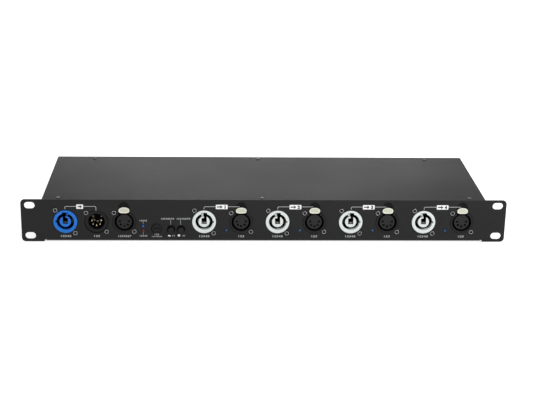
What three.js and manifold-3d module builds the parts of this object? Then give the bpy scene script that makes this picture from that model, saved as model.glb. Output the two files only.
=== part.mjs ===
import * as THREE from 'three';
import { mergeVertices } from 'three/addons/utils/BufferGeometryUtils.js';
import Module from 'manifold-3d';

const wasm = await Module();
wasm.setup();

// A one-unit rack box that splits a mains feed and a lighting control signal four ways.
// Lengths are in millimetres. X runs along the front, Y into the case and Z up.
// The panel's face is at Y 0, its middle at X 0 and the bottom of the rack ears at Z 0.

// Clearances
const seat = 0.3; // between pieces that rest on or fit round each other
const headSeat = 0.1; // under a screw head or a plug's rim
const overrun = 1; // how far a cut runs past the faces it goes through

// Case: a front panel with rack ears and a folded foot, a folded tray lapped on it, and a cover
const caseWidth = 443;
const caseDepth = 145;
const earReach = 19.8; // how far each rack ear stands out past the case
const panelHeight = 44;
const panelCorner = 3;
const sheet = 1.5;
const bendRadius = 2.4;
const trayRise = 0.5; // case's underside above the bottom of the ears
const panelFoot = 12.5; // how far the panel's folded foot runs back under the tray
const coverSheet = 1.2;
const coverBend = 2;
const coverDrop = 1; // cover's top below the panel's top
const foldOverlap = 1.2; // how far the folded foot's wall runs up inside the panel
const foldInset = 3; // from the tray's sides to the ends of the panel's fold
const reliefWidth = 2.4; // the notch between the fold and each ear
const reliefTop = 1.9; // above the bottom of the ears
const joggleRun = 2; // depth in which the tray steps down from its lap to its floor
const rearFlange = 14;

// Rack slots
const slotWidth = 10.6;
const slotHeight = 7.2;
const slotInset = 8.75; // from the panel's ends
const slotPitchZ = 31.75;

// Angle rail behind the panel's top edge
const railSheet = 1.2;
const railLeg = 2.4;
const railDepth = 13;
const railEndGap = 4;

// Cover screws
const coverScrewRadius = 1.5;
const coverScrewLength = 4.6;
const coverScrewHeadRadius = 2.7;
const coverScrewHeadHeight = 0.8;
const coverScrewDriveLength = 2.8;
const coverScrewDriveWidth = 0.8;
const coverScrewDriveDepth = 0.5;
const frontScrewInset = 8.5;
const rearScrewInset = 7.5;
const frontScrewSideInset = 16.5; // from the case's sides
const rearScrewSideInset = 41.5;
const middleScrewX = -3;

// Height of the connectors' axes, and their places along the panel, each from the one before it
const powerAxisHeight = 21.1;
const dataAxisHeight = 20.6;
const inletInset = 23.7; // from the case's left side
const inletToDataIn = 30.5;
const dataInToLink = 27.5;
const linkToLamps = 18.7;
const lampsToPlug = 13.3;
const plugToTerminate = 14.3;
const terminateToFilter = 9.8;
const filterToOutlet = 23;
const outletToLamp = 22.2;
const outletToData = 36.8;
const lastOutletToData = 38.6;
const lastDataInset = 24.3; // from the case's right side
const outputCount = 4; // or as many as the case has room for

// Mains connectors
const powerProud = 1.2;
const powerRingRadius = 11.75;
const powerRingChamfer = 0.7;
const powerGrooveRadius = 8.3;
const powerCoreRadius = 5.85;
const powerCoreRecess = 0.8;
const powerGrooveEnd = 15;
const powerBodyEnd = 18;
const powerFlangeWidth = 26;
const powerFlangeHeight = 31;
const powerFlangeSheet = 2;
const powerFlangeCorner = 3;
const powerScrewX = 9.5;
const powerScrewZ = 12;
const cavityWidth = 4.8;
const cavityBottom = 2.2; // below the axis
const cavityTop = 3.8; // above the axis
const cavitySlotWidth = 2.8;
const ringKeyWidth = 5.8;
const ringKeyDepth = 6; // along the axis
const ringKeyReach = 9.7; // from the axis
const smallKeyWidth = 2.2;

// Contacts of the mains connectors
const bladeThickness = 0.8;
const bladeWidth = 4;
const bladeFront = 3.2;
const contactPlateRadius = 9.8;
const contactPlateDepth = 2;
const contactTabDepth = 8;
const contactTabWidth = 4.8;
const contactTabShares = [-0.6, 0, 0.6]; // of the plate's radius, across it

// Data connectors
const dataProud = 0.5;
const dataShellRadius = 11.5;
const dataShellEnd = 18;
const dataGrooveRadius = 9.3;
const dataCupRadius = 8.3;
const dataGrooveEnd = 16;
const dataLipRadius = 6.9;
const dataFlangeWidth = 24.6;
const dataFlangeHeight = 31;
const dataFlangeSheet = 2;
const dataFlangeCorner = 3;
const dataScrewOffset = 9.9;
const dataInsertRadius = 7.9;
const dataInsertRecess = 0.8;
const dataInsertTail = 19.9;
const maleInsertFront = 13.3;
const contactCircle = 4.6;
const contactStep = 49 * (Math.PI / 180);
const contactCount = 5;
const contactHoleRadius = 1.2;
const contactHoleDepth = 12;
const pinRadius = 0.95;
const pinFront = 1.8;
const pinTip = 0.8;
const pinCarrierRadius = 6.2;

// Push tab latch of a female data connector
const tabWidth = 11.2;
const tabTop = 16.5; // above the connector's axis
const tabBottom = 10.7;
const tabFront = 1.2; // proud of the panel
const tabSheet = 1.4;
const tabStemWidth = 6.2;
const tabStemBottom = 9.5;
const tabClearance = 0.7; // round the tab in the panel
const latchArmWidth = 4.4;
const latchArmTop = 15.6;
const latchArmBottom = 13.4;
const latchPivotDepth = 3.6;
const latchPivotHeight = 15.9;
const latchPivotRadius = 1.1;
const latchPivotWidth = 12.6;
const latchHookFront = 6.4;
const latchHookDepth = 1.5;
const latchHookBottom = 8.9;
const latchHouseWidth = 14.6;
const latchHouseTop = 17.8;
const latchHouseEnd = 12;
const latchPocketEnd = 10.6;
const latchDip = 1.1; // how far the tab's lower edge swings down as it is pressed

// Connector screw holes
const connectorScrewRadius = 1.3;

// Indicator lamps
const lampRadius = 1.45;
const lampProud = 1.2;
const lampCollarRadius = 1.95;
const lampCollarDepth = 1;
const outputLampHeight = 12.1;
const signalLampHeight = 16.3;
const powerLampHeight = 11.7;

// Service plug and socket
const plugHeight = 14;
const plugRimRadius = 4.65;
const plugRimDepth = 1;
const plugStemRadius = 3.3;
const plugStemLength = 5;
const plugDimpleRadius = 0.55;
const plugDimpleDepth = 0.5;
const plugDimpleOffset = 1.95;
const socketWidth = 10.4;
const socketHeight = 9;
const socketWall = 1.2;
const socketFront = 7;

// Push buttons and their latching switches
const buttonHeight = 12.9;
const buttonRadius = 3.25;
const buttonProud = 3;
const buttonCrown = 0.6;
const buttonHoleRadius = 3.9;
const buttonCollarRadius = 4.3;
const buttonCollarDepth = 1;
const buttonSkirtEnd = 4.6;
const plungerWidth = 3;
const plungerEnd = 10.4;
const switchWidth = 8.6;
const switchHeight = 8.6;
const switchFront = 8;
const switchBore = 6.6;

// Circuit boards that stand behind the connectors
const boardFront = 20.3;
const boardSheet = 1.6;
const boardBottom = 5.8;
const boardTop = 36;
const inputBoardLeft = 12.7; // left of the incoming data connector's axis
const inputBoardRight = 6.7; // right of the filter button's axis
const outputBoardLeft = 18; // left of the data connector's axis
const outputBoardRight = 12.4;
const chipWidth = 10;
const chipHeight = 6;
const chipDepth = 2.4;
const headerWidth = 9;
const headerHeight = 6;
const headerDepth = 5.4;
const inputHeaderInset = 13; // from the input board's right end
const inputChipShares = [0.3, 0.62];

// Power supply board on four pressed standoffs
const supplyInset = 71.5; // from the case's left side
const supplyLength = 88;
const supplyDepth = 50;
const supplyRearGap = 19; // from the case's rear
const supplyHeight = 8.5;
const supplyHoleInset = 5;
const supplyHoleRadius = 1.6;
const standoffRadius = 3;
const transformerWidth = 26;
const transformerDepth = 22;
const transformerHeight = 20;
const windingWidth = 18;
const windingDepth = 28;
const windingHeight = 13;
const capacitorRadius = 8;
const capacitorHeight = 21;
const transformerXShare = 0.36;
const capacitorXShare = 0.76;
const supplyInlet = { inset: 25, width: 12, height: 9, depth: 8 }; // from the board's left end
const supplyOutlet = { inset: 13, width: 9, height: 7, depth: 6 }; // from its right end

// Leads inside the case
const mainsLeadRadius = 3;
const branchLeadRadius = 2;
const signalLeadRadius = 1.3;
const lowVoltageLeadRadius = 1.6;
const branchSagHeight = 17;
const lowVoltageTurnShares = { across: 0.4, along: 0.42 };

// Earth stud on the tray's floor
const earthInset = 25.5; // from the case's left side
const earthDepth = 62;
const earthRadius = 2;
const earthLength = 12;
const earthNutRadius = 4;
const earthNutHeight = 3.2;
const earthNutSides = 6;

// Facets of round surfaces
const largeSides = 20;
const mediumSides = 12;
const smallSides = 8;
const bendSegments = 3;

// Worked out from the dimensions above
const caseHalf = caseWidth / 2;
const panelHalf = caseHalf + earReach;
const trayHalf = caseHalf - coverSheet - seat;
const foldHalf = trayHalf - foldInset;
const earStart = foldHalf + reliefWidth;
const coverTop = panelHeight - coverDrop;
const trayTop = coverTop - coverSheet - seat;
const floorTop = trayRise + sheet;
const foldTop = trayRise + bendRadius;
const wallBack = sheet + seat;
const inletX = inletInset - caseHalf;
const dataInX = inletX + inletToDataIn;
const dataLinkX = dataInX + dataInToLink;
const inputLampX = dataLinkX + linkToLamps;
const plugX = inputLampX + lampsToPlug;
const terminateX = plugX + plugToTerminate;
const filterX = terminateX + terminateToFilter;
const firstOutletX = filterX + filterToOutlet;
const supplyLeft = supplyInset - caseHalf;
const supplyRight = supplyLeft + supplyLength;
const supplyRear = caseDepth - supplyRearGap;
const supplyFront = supplyRear - supplyDepth;
const supplyInletX = supplyLeft + supplyInlet.inset;
const supplyOutletX = supplyRight - supplyOutlet.inset;
const inputBoardEnd = filterX + inputBoardRight;
const inputHeaderX = inputBoardEnd - inputHeaderInset;
const frontReach = Math.max(buttonProud, powerProud);
const halfTurn = Math.PI;
const quarterTurn = Math.PI / 2;

// Solids from closed three.js geometry

function solidOf(geometry) {
  geometry.deleteAttribute('normal');
  geometry.deleteAttribute('uv');
  const merged = mergeVertices(geometry);
  const index = merged.index.array;
  const corners = [];
  for (let i = 0; i < index.length; i += 3) {
    const [a, b, c] = [index[i], index[i + 1], index[i + 2]];
    if (a !== b && b !== c && c !== a) {
      corners.push(a, b, c);
    }
  }
  const vertProperties = Float32Array.from(merged.attributes.position.array);
  const triVerts = Uint32Array.from(corners);
  return new wasm.Manifold(new wasm.Mesh({ numProp: 3, vertProperties, triVerts }));
}

function geometryOf(solid) {
  const mesh = solid.getMesh();
  const geometry = new THREE.BufferGeometry();
  geometry.setAttribute('position', new THREE.BufferAttribute(mesh.vertProperties, 3));
  geometry.setIndex(new THREE.BufferAttribute(mesh.triVerts, 1));
  geometry.computeVertexNormals();
  return geometry;
}

// A block given by its two corners
function block(x0, x1, y0, y1, z0, z1) {
  const geometry = new THREE.BoxGeometry(x1 - x0, y1 - y0, z1 - z0);
  geometry.translate((x0 + x1) / 2, (y0 + y1) / 2, (z0 + z1) / 2);
  return solidOf(geometry);
}

// A round bar along Y
function bar(x, z, radius, y0, y1, sides) {
  const geometry = new THREE.CylinderGeometry(radius, radius, y1 - y0, sides);
  geometry.translate(x, (y0 + y1) / 2, z);
  return solidOf(geometry);
}

// A round bar along Z
function post(x, y, radius, z0, z1, sides) {
  const geometry = new THREE.CylinderGeometry(radius, radius, z1 - z0, sides);
  geometry.rotateX(quarterTurn);
  geometry.translate(x, y, (z0 + z1) / 2);
  return solidOf(geometry);
}

// A round bar along X
function axle(y, z, radius, x0, x1, sides) {
  const geometry = new THREE.CylinderGeometry(radius, radius, x1 - x0, sides);
  geometry.rotateZ(quarterTurn);
  geometry.translate((x0 + x1) / 2, y, z);
  return solidOf(geometry);
}

// An outline of radius and depth turned about the Y axis
function turned(outline, sides) {
  const points = outline.map(([radius, depth]) => new THREE.Vector2(radius, depth));
  if (THREE.ShapeUtils.area(points) < 0) {
    points.reverse();
  }
  return solidOf(new THREE.LatheGeometry([...points, points[0]], sides));
}

// An outline across X and Z, run along Y
function plate(shape, y0, y1) {
  const options = { depth: y1 - y0, bevelEnabled: false, curveSegments: bendSegments };
  const geometry = new THREE.ExtrudeGeometry(shape, options);
  geometry.rotateX(quarterTurn);
  geometry.translate(0, y1, 0);
  return solidOf(geometry);
}

// An outline across Y and Z, run along X
function section(shape, x0, x1) {
  const options = { depth: x1 - x0, bevelEnabled: false, curveSegments: bendSegments };
  const geometry = new THREE.ExtrudeGeometry(shape, options);
  geometry.rotateX(quarterTurn);
  geometry.rotateZ(quarterTurn);
  geometry.translate(x0, 0, 0);
  return solidOf(geometry);
}

// A round lead that follows a curve
function lead(points, radius, steps) {
  const path = new THREE.CatmullRomCurve3(points.map(([x, y, z]) => new THREE.Vector3(x, y, z)));
  const shape = new THREE.Shape(circlePoints(0, 0, radius, smallSides));
  return solidOf(new THREE.ExtrudeGeometry(shape, { steps, bevelEnabled: false, extrudePath: path }));
}

// Outlines

function circlePoints(x, z, radius, sides, start = 0, sweep = 2 * Math.PI) {
  const whole = Math.abs(sweep) === 2 * Math.PI;
  const count = whole ? sides : sides + 1;
  return Array.from({ length: count }, (_, i) => {
    const angle = start + (sweep * i) / sides;
    return new THREE.Vector2(x + radius * Math.cos(angle), z + radius * Math.sin(angle));
  });
}

function roundedOutline(left, right, bottom, top, radius) {
  const corner = (x, z, start) => circlePoints(x, z, radius, bendSegments, start, quarterTurn);
  return [
    ...corner(right - radius, bottom + radius, -quarterTurn),
    ...corner(right - radius, top - radius, 0),
    ...corner(left + radius, top - radius, quarterTurn),
    ...corner(left + radius, bottom + radius, halfTurn),
  ];
}

// A slot with half-round ends, along X
function slotOutline(x, z, width, height) {
  const radius = height / 2;
  const reach = width / 2 - radius;
  const half = smallSides / 2;
  return [
    ...circlePoints(x + reach, z, radius, half, -quarterTurn, halfTurn),
    ...circlePoints(x - reach, z, radius, half, quarterTurn, halfTurn),
  ];
}

// The panel's opening for a female data connector: its round shell and the tab above it
function dataOpening(x, z) {
  const radius = dataShellRadius + seat;
  const half = tabWidth / 2 + tabClearance;
  const top = tabTop + tabClearance;
  const cornerRadius = half / 2;
  const side = Math.acos(half / radius);
  const sweep = -(halfTurn + 2 * side);
  const corner = (cx, start) => {
    return circlePoints(cx, z + top - cornerRadius, cornerRadius, bendSegments, start, -quarterTurn);
  };
  return [
    ...circlePoints(x, z, radius, largeSides, side, sweep),
    ...corner(x - half + cornerRadius, halfTurn),
    ...corner(x + half - cornerRadius, quarterTurn),
  ];
}

function holeIn(shape, points) {
  shape.holes.push(new THREE.Path(points));
}

// Pieces

const buttonXs = { terminate_button: terminateX, filter_button: filterX };

// The outputs share the room between the first outlet and the last data connector
const outputRun = caseHalf - lastDataInset - lastOutletToData - firstOutletX;
const leastPitch = outletToData + (dataFlangeWidth + powerFlangeWidth) / 2 + seat;
const outputTotal = Math.min(outputCount, 1 + Math.floor(outputRun / leastPitch));
const outputPitch = outputRun / Math.max(outputTotal - 1, 1);
const outputs = Array.from({ length: outputTotal }, (_, i) => {
  const outletX = firstOutletX + i * outputPitch;
  const toData = i === outputTotal - 1 ? lastOutletToData : outletToData;
  return {
    number: i + 1,
    outletX,
    dataX: outletX + toData,
    lampX: outletX + outletToLamp,
  };
});
const lastOutput = outputs[outputTotal - 1];

const screwRow = (inset) => [inset - caseHalf, middleScrewX, caseHalf - inset];
const frontScrewXs = screwRow(frontScrewSideInset);
const rearScrewXs = screwRow(rearScrewSideInset);
const frontScrewY = frontScrewInset;
const rearScrewY = caseDepth - rearScrewInset;

function panelPlate() {
  const edge = earStart + overrun;
  const slit = foldHalf + seat;
  const shape = new THREE.Shape([
    new THREE.Vector2(-edge, reliefTop),
    new THREE.Vector2(-slit, reliefTop),
    new THREE.Vector2(-slit, foldTop),
    new THREE.Vector2(slit, foldTop),
    new THREE.Vector2(slit, reliefTop),
    new THREE.Vector2(edge, reliefTop),
    new THREE.Vector2(edge, panelHeight),
    new THREE.Vector2(-edge, panelHeight),
  ]);
  const round = (x, z, radius, sides) => holeIn(shape, circlePoints(x, z, radius, sides));
  const screwPair = (x, z, offsetX, offsetZ) => {
    const radius = connectorScrewRadius + seat;
    round(x - offsetX, z + offsetZ, radius, smallSides);
    round(x + offsetX, z - offsetZ, radius, smallSides);
  };
  for (const x of [inletX, ...outputs.map((output) => output.outletX)]) {
    round(x, powerAxisHeight, powerRingRadius + seat, largeSides);
    screwPair(x, powerAxisHeight, powerScrewX, powerScrewZ);
  }
  for (const x of [dataLinkX, ...outputs.map((output) => output.dataX)]) {
    holeIn(shape, dataOpening(x, dataAxisHeight));
    screwPair(x, dataAxisHeight, dataScrewOffset, dataScrewOffset);
  }
  round(dataInX, dataAxisHeight, dataShellRadius + seat, largeSides);
  screwPair(dataInX, dataAxisHeight, dataScrewOffset, dataScrewOffset);
  for (const output of outputs) {
    round(output.lampX, outputLampHeight, lampRadius + seat, smallSides);
  }
  round(inputLampX, signalLampHeight, lampRadius + seat, smallSides);
  round(inputLampX, powerLampHeight, lampRadius + seat, smallSides);
  round(plugX, plugHeight, plugStemRadius + seat, mediumSides);
  for (const x of Object.values(buttonXs)) {
    round(x, buttonHeight, buttonHoleRadius, mediumSides);
  }
  return plate(shape, 0, sheet);
}

// One rack ear, on the right where side is 1 and on the left where it is -1
function ear(side) {
  const inner = side * earStart;
  const outer = side * panelHalf;
  const [left, right] = [Math.min(inner, outer), Math.max(inner, outer)];
  const shape = new THREE.Shape(roundedOutline(left, right, 0, panelHeight, panelCorner));
  for (const row of [-1, 1]) {
    const x = side * (panelHalf - slotInset);
    const z = panelHeight / 2 + (row * slotPitchZ) / 2;
    holeIn(shape, slotOutline(x, z, slotWidth, slotHeight));
  }
  const root = side * (earStart + panelCorner);
  const square = block(Math.min(inner, root), Math.max(inner, root), 0, sheet, 0, panelHeight);
  return plate(shape, 0, sheet).add(square);
}

// The fold along the panel's lower edge and the foot that runs back from it
function panelFold() {
  const inside = bendRadius - sheet;
  const shape = new THREE.Shape();
  shape.moveTo(0, foldTop + foldOverlap);
  shape.lineTo(0, foldTop);
  shape.absarc(bendRadius, foldTop, bendRadius, halfTurn, 3 * quarterTurn, false);
  shape.lineTo(panelFoot, trayRise);
  shape.lineTo(panelFoot, floorTop);
  shape.lineTo(bendRadius, floorTop);
  shape.absarc(bendRadius, foldTop, inside, 3 * quarterTurn, halfTurn, true);
  shape.lineTo(sheet, foldTop + foldOverlap);
  return section(shape, -foldHalf, foldHalf);
}

function frontPanel() {
  return panelPlate().add(ear(-1)).add(ear(1)).add(panelFold());
}

// The tray's lap on the panel's foot, its floor, the rear wall and the rear flange
function foldedFloor() {
  const inside = bendRadius - sheet;
  const back = caseDepth;
  const lapLow = floorTop + seat;
  const lapEnd = panelFoot + seat;
  const drop = lapLow - trayRise;
  const shift = (sheet * (Math.hypot(joggleRun, drop) - joggleRun)) / drop;
  const shape = new THREE.Shape();
  shape.moveTo(bendRadius + seat, lapLow);
  shape.lineTo(lapEnd, lapLow);
  shape.lineTo(lapEnd + joggleRun, trayRise);
  shape.lineTo(back - bendRadius, trayRise);
  shape.absarc(back - bendRadius, foldTop, bendRadius, -quarterTurn, 0, false);
  shape.lineTo(back, trayTop - bendRadius);
  shape.absarc(back - bendRadius, trayTop - bendRadius, bendRadius, 0, quarterTurn, false);
  shape.lineTo(back - rearFlange, trayTop);
  shape.lineTo(back - rearFlange, trayTop - sheet);
  shape.lineTo(back - bendRadius, trayTop - sheet);
  shape.absarc(back - bendRadius, trayTop - bendRadius, inside, quarterTurn, 0, true);
  shape.lineTo(back - sheet, foldTop);
  shape.absarc(back - bendRadius, foldTop, inside, 0, -quarterTurn, true);
  shape.lineTo(lapEnd + joggleRun + shift, floorTop);
  shape.lineTo(lapEnd + shift, lapLow + sheet);
  shape.lineTo(bendRadius + seat, lapLow + sheet);
  return section(shape, -trayHalf, trayHalf);
}

function supplyHoles() {
  const xs = [supplyLeft + supplyHoleInset, supplyRight - supplyHoleInset];
  const ys = [supplyFront + supplyHoleInset, supplyRear - supplyHoleInset];
  return xs.flatMap((x) => ys.map((y) => [x, y]));
}

function chassisTray() {
  let solid = foldedFloor();
  for (const x of rearScrewXs) {
    const radius = coverScrewRadius + seat;
    const low = trayTop - sheet - overrun;
    solid = solid.subtract(post(x, rearScrewY, radius, low, trayTop + overrun, smallSides));
  }
  for (const [x, y] of supplyHoles()) {
    const pillar = post(x, y, standoffRadius, floorTop - sheet / 2, supplyHeight - seat, smallSides);
    solid = solid.add(pillar);
  }
  const studLow = floorTop - sheet / 2;
  const [x, y] = [earthInset - caseHalf, earthDepth];
  const stud = post(x, y, earthRadius, studLow, floorTop + earthLength, smallSides);
  const nut = post(x, y, earthNutRadius, studLow, floorTop + earthNutHeight, earthNutSides);
  return solid.add(stud).add(nut);
}

function topCover() {
  const half = caseHalf;
  const inner = half - coverSheet;
  const inside = coverBend - coverSheet;
  const shoulder = coverTop - coverBend;
  const shape = new THREE.Shape();
  shape.moveTo(-half, trayRise);
  shape.lineTo(-inner, trayRise);
  shape.lineTo(-inner, shoulder);
  shape.absarc(-half + coverBend, shoulder, inside, halfTurn, quarterTurn, true);
  shape.lineTo(half - coverBend, coverTop - coverSheet);
  shape.absarc(half - coverBend, shoulder, inside, quarterTurn, 0, true);
  shape.lineTo(inner, trayRise);
  shape.lineTo(half, trayRise);
  shape.lineTo(half, shoulder);
  shape.absarc(half - coverBend, shoulder, coverBend, 0, quarterTurn, false);
  shape.lineTo(-half + coverBend, coverTop);
  shape.absarc(-half + coverBend, shoulder, coverBend, quarterTurn, halfTurn, false);
  let solid = plate(shape, wallBack, caseDepth);
  const radius = coverScrewRadius + seat;
  const low = coverTop - coverSheet - overrun;
  const rows = [[frontScrewXs, frontScrewY], [rearScrewXs, rearScrewY]];
  for (const [xs, y] of rows) {
    for (const x of xs) {
      solid = solid.subtract(post(x, y, radius, low, coverTop + overrun, smallSides));
    }
  }
  return solid;
}

function frontRail() {
  const half = trayHalf - railEndGap;
  const shape = new THREE.Shape([
    new THREE.Vector2(wallBack, trayTop - railLeg),
    new THREE.Vector2(wallBack + railSheet, trayTop - railLeg),
    new THREE.Vector2(wallBack + railSheet, trayTop - railSheet),
    new THREE.Vector2(wallBack + railDepth, trayTop - railSheet),
    new THREE.Vector2(wallBack + railDepth, trayTop),
    new THREE.Vector2(wallBack, trayTop),
  ]);
  let solid = section(shape, -half, half);
  for (const x of frontScrewXs) {
    const radius = coverScrewRadius + seat;
    const low = trayTop - railSheet - overrun;
    solid = solid.subtract(post(x, frontScrewY, radius, low, trayTop + overrun, smallSides));
  }
  return solid;
}

// A cover screw, with its head's seat at the origin
function coverScrew() {
  const top = headSeat + coverScrewHeadHeight;
  const shaft = post(0, 0, coverScrewRadius, -coverScrewLength, top / 2, smallSides);
  const head = post(0, 0, coverScrewHeadRadius, headSeat, top, mediumSides);
  const [length, width] = [coverScrewDriveLength / 2, coverScrewDriveWidth / 2];
  const low = top - coverScrewDriveDepth;
  const cross = block(-length, length, -width, width, low, top + overrun);
  const across = block(-width, width, -length, length, low, top + overrun);
  return shaft.add(head).subtract(cross.add(across));
}

// A connector's mounting flange behind the panel, with its two screw holes
function flange(width, height, corner, depth, screwX, screwZ) {
  const outline = roundedOutline(-width / 2, width / 2, -height / 2, height / 2, corner);
  const shape = new THREE.Shape(outline);
  holeIn(shape, circlePoints(-screwX, screwZ, connectorScrewRadius + seat, smallSides));
  holeIn(shape, circlePoints(screwX, -screwZ, connectorScrewRadius + seat, smallSides));
  return plate(shape, wallBack, wallBack + depth);
}

// The places of the two outer contact blades and the one in the core's cavity
function bladeBlocks(grow, y0, y1) {
  const [thick, wide] = [bladeThickness + grow, bladeWidth / 2 + grow];
  const outer = powerCoreRadius + seat;
  const low = seat - cavityBottom;
  return [
    block(outer - grow, outer + thick, y0, y1, -wide, wide),
    block(-outer - thick, -outer + grow, y0, y1, -wide, wide),
    block(-wide / 2, wide / 2, y0, y1, low - grow, low + thick),
  ];
}

// A mains connector. Its keys and cavity face one way where hand is 1 and the other at -1
function powerConnector(hand) {
  const coreFront = powerCoreRecess - powerProud;
  const front = -powerProud;
  let solid = turned([
    [0, powerBodyEnd],
    [0, coreFront],
    [powerCoreRadius, coreFront],
    [powerCoreRadius, powerGrooveEnd],
    [powerGrooveRadius, powerGrooveEnd],
    [powerGrooveRadius, front],
    [powerRingRadius - powerRingChamfer, front],
    [powerRingRadius, front + powerRingChamfer],
    [powerRingRadius, powerBodyEnd],
  ], largeSides);
  const plateSolid = flange(
    powerFlangeWidth, powerFlangeHeight, powerFlangeCorner, powerFlangeSheet, powerScrewX, powerScrewZ,
  );
  const clear = bar(0, 0, powerRingRadius - powerRingChamfer, 0, powerBodyEnd, largeSides);
  solid = solid.add(plateSolid.subtract(clear));
  const right = (hand * cavityWidth) / 2;
  const slotLeft = right - hand * cavitySlotWidth;
  const [low, high] = [front - overrun, powerGrooveEnd];
  const cut = (a, b, z0, z1, y1) => {
    solid = solid.subtract(block(Math.min(a, b), Math.max(a, b), low, y1, z0, z1));
  };
  cut(-right, right, -cavityBottom, cavityTop, high);
  cut(slotLeft, right, 0, powerCoreRadius + overrun, high);
  cut(-ringKeyWidth / 2, ringKeyWidth / 2, powerCoreRadius + overrun, ringKeyReach, ringKeyDepth);
  const [keyInner, keyOuter] = [hand * (powerCoreRadius + overrun), hand * ringKeyReach];
  cut(keyInner, keyOuter, -smallKeyWidth / 2, smallKeyWidth / 2, ringKeyDepth);
  for (const hole of bladeBlocks(seat, powerGrooveEnd - overrun, powerBodyEnd + overrun)) {
    solid = solid.subtract(hole);
  }
  return solid;
}

// The contact plate behind a mains connector, its blades and its tail tabs
function powerContacts() {
  const front = powerBodyEnd + seat;
  const back = front + contactPlateDepth;
  let solid = bar(0, 0, contactPlateRadius, front, back, mediumSides);
  for (const blade of bladeBlocks(0, bladeFront, front + contactPlateDepth / 2)) {
    solid = solid.add(blade);
  }
  const [wide, thick] = [contactTabWidth / 2, bladeThickness / 2];
  const [tabFront, tabBack] = [back - contactPlateDepth / 2, back + contactTabDepth];
  for (const share of contactTabShares) {
    const z = share * contactPlateRadius;
    solid = solid.add(block(-wide, wide, tabFront, tabBack, z - thick, z + thick));
  }
  return solid;
}

// The flanged barrel of a data connector, and the hollow to be cut from it
function dataShell(boreRadius) {
  const outer = bar(0, 0, dataShellRadius, -dataProud, dataShellEnd, largeSides);
  const rim = flange(
    dataFlangeWidth, dataFlangeHeight, dataFlangeCorner, dataFlangeSheet, dataScrewOffset, dataScrewOffset,
  );
  const bore = bar(0, 0, boreRadius, -dataProud - overrun, dataGrooveEnd, largeSides);
  const lip = bar(0, 0, dataLipRadius, dataGrooveEnd - overrun, dataShellEnd + overrun, mediumSides);
  return { body: outer.add(rim), hollow: bore.add(lip) };
}

// The shell of a male data connector is a plain cup
function maleShell() {
  const { body, hollow } = dataShell(dataCupRadius);
  return body.subtract(hollow);
}

// The shell of a female data connector carries the housing of its latch
function femaleShell() {
  const { body, hollow } = dataShell(dataGrooveRadius);
  const half = latchHouseWidth / 2;
  const house = block(-half, half, wallBack, latchHouseEnd, 0, latchHouseTop);
  const tabHalf = tabWidth / 2 + seat;
  const armHalf = latchArmWidth / 2 + seat;
  const pocketTop = tabTop + seat;
  const pivot = latchPivotRadius + seat;
  const front = -dataProud - overrun;
  const low = tabStemBottom - latchDip;
  const tabPocket = block(-tabHalf, tabHalf, front, wallBack + pivot, low, pocketTop);
  const armPocket = block(-armHalf, armHalf, front, latchPocketEnd, dataInsertRadius, pocketTop);
  const pivotHalf = latchPivotWidth / 2 + seat;
  const pivotHole = axle(latchPivotDepth, latchPivotHeight, pivot, -pivotHalf, pivotHalf, smallSides);
  const [roofLow, roofHigh] = [latchPivotHeight - pivot, latchPivotHeight + pivot];
  const pivotRoof = block(-pivotHalf, pivotHalf, wallBack - overrun, latchPivotDepth, roofLow, roofHigh);
  const cuts = [hollow, tabPocket, armPocket, pivotHole, pivotRoof];
  return cuts.reduce((solid, cut) => solid.subtract(cut), body.add(house));
}

function contactPlaces() {
  return Array.from({ length: contactCount }, (_, i) => {
    const angle = -quarterTurn + (i - (contactCount - 1) / 2) * contactStep;
    return [contactCircle * Math.cos(angle), contactCircle * Math.sin(angle)];
  });
}

function femaleInsert() {
  const shoulder = dataGrooveEnd - seat;
  let solid = bar(0, 0, dataInsertRadius, dataInsertRecess, shoulder, largeSides);
  const tail = bar(0, 0, dataLipRadius - seat, shoulder - overrun, dataInsertTail, mediumSides);
  solid = solid.add(tail);
  for (const [x, z] of contactPlaces()) {
    const front = dataInsertRecess - overrun;
    const hole = bar(x, z, contactHoleRadius, front, dataInsertRecess + contactHoleDepth, smallSides);
    solid = solid.subtract(hole);
  }
  return solid;
}

function maleInsert() {
  const shoulder = dataGrooveEnd - seat;
  const end = dataShellEnd - seat;
  const face = bar(0, 0, dataCupRadius - seat, maleInsertFront, shoulder, largeSides);
  let solid = face.add(bar(0, 0, dataLipRadius - seat, shoulder - overrun, end, mediumSides));
  for (const [x, z] of contactPlaces()) {
    const hole = bar(x, z, contactHoleRadius, maleInsertFront - overrun, end + overrun, smallSides);
    solid = solid.subtract(hole);
  }
  return solid;
}

// Five pins on the carrier that holds them behind the male insert
function malePins() {
  const carrierEnd = boardFront - seat;
  let solid = bar(0, 0, pinCarrierRadius, dataShellEnd, carrierEnd, mediumSides);
  for (const [x, z] of contactPlaces()) {
    const pin = turned([
      [0, dataShellEnd + pinTip],
      [0, pinFront],
      [pinRadius / 2, pinFront],
      [pinRadius, pinFront + pinTip],
      [pinRadius, dataShellEnd + pinTip],
    ], smallSides);
    solid = solid.add(pin.translate([x, 0, z]));
  }
  return solid;
}

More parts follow.
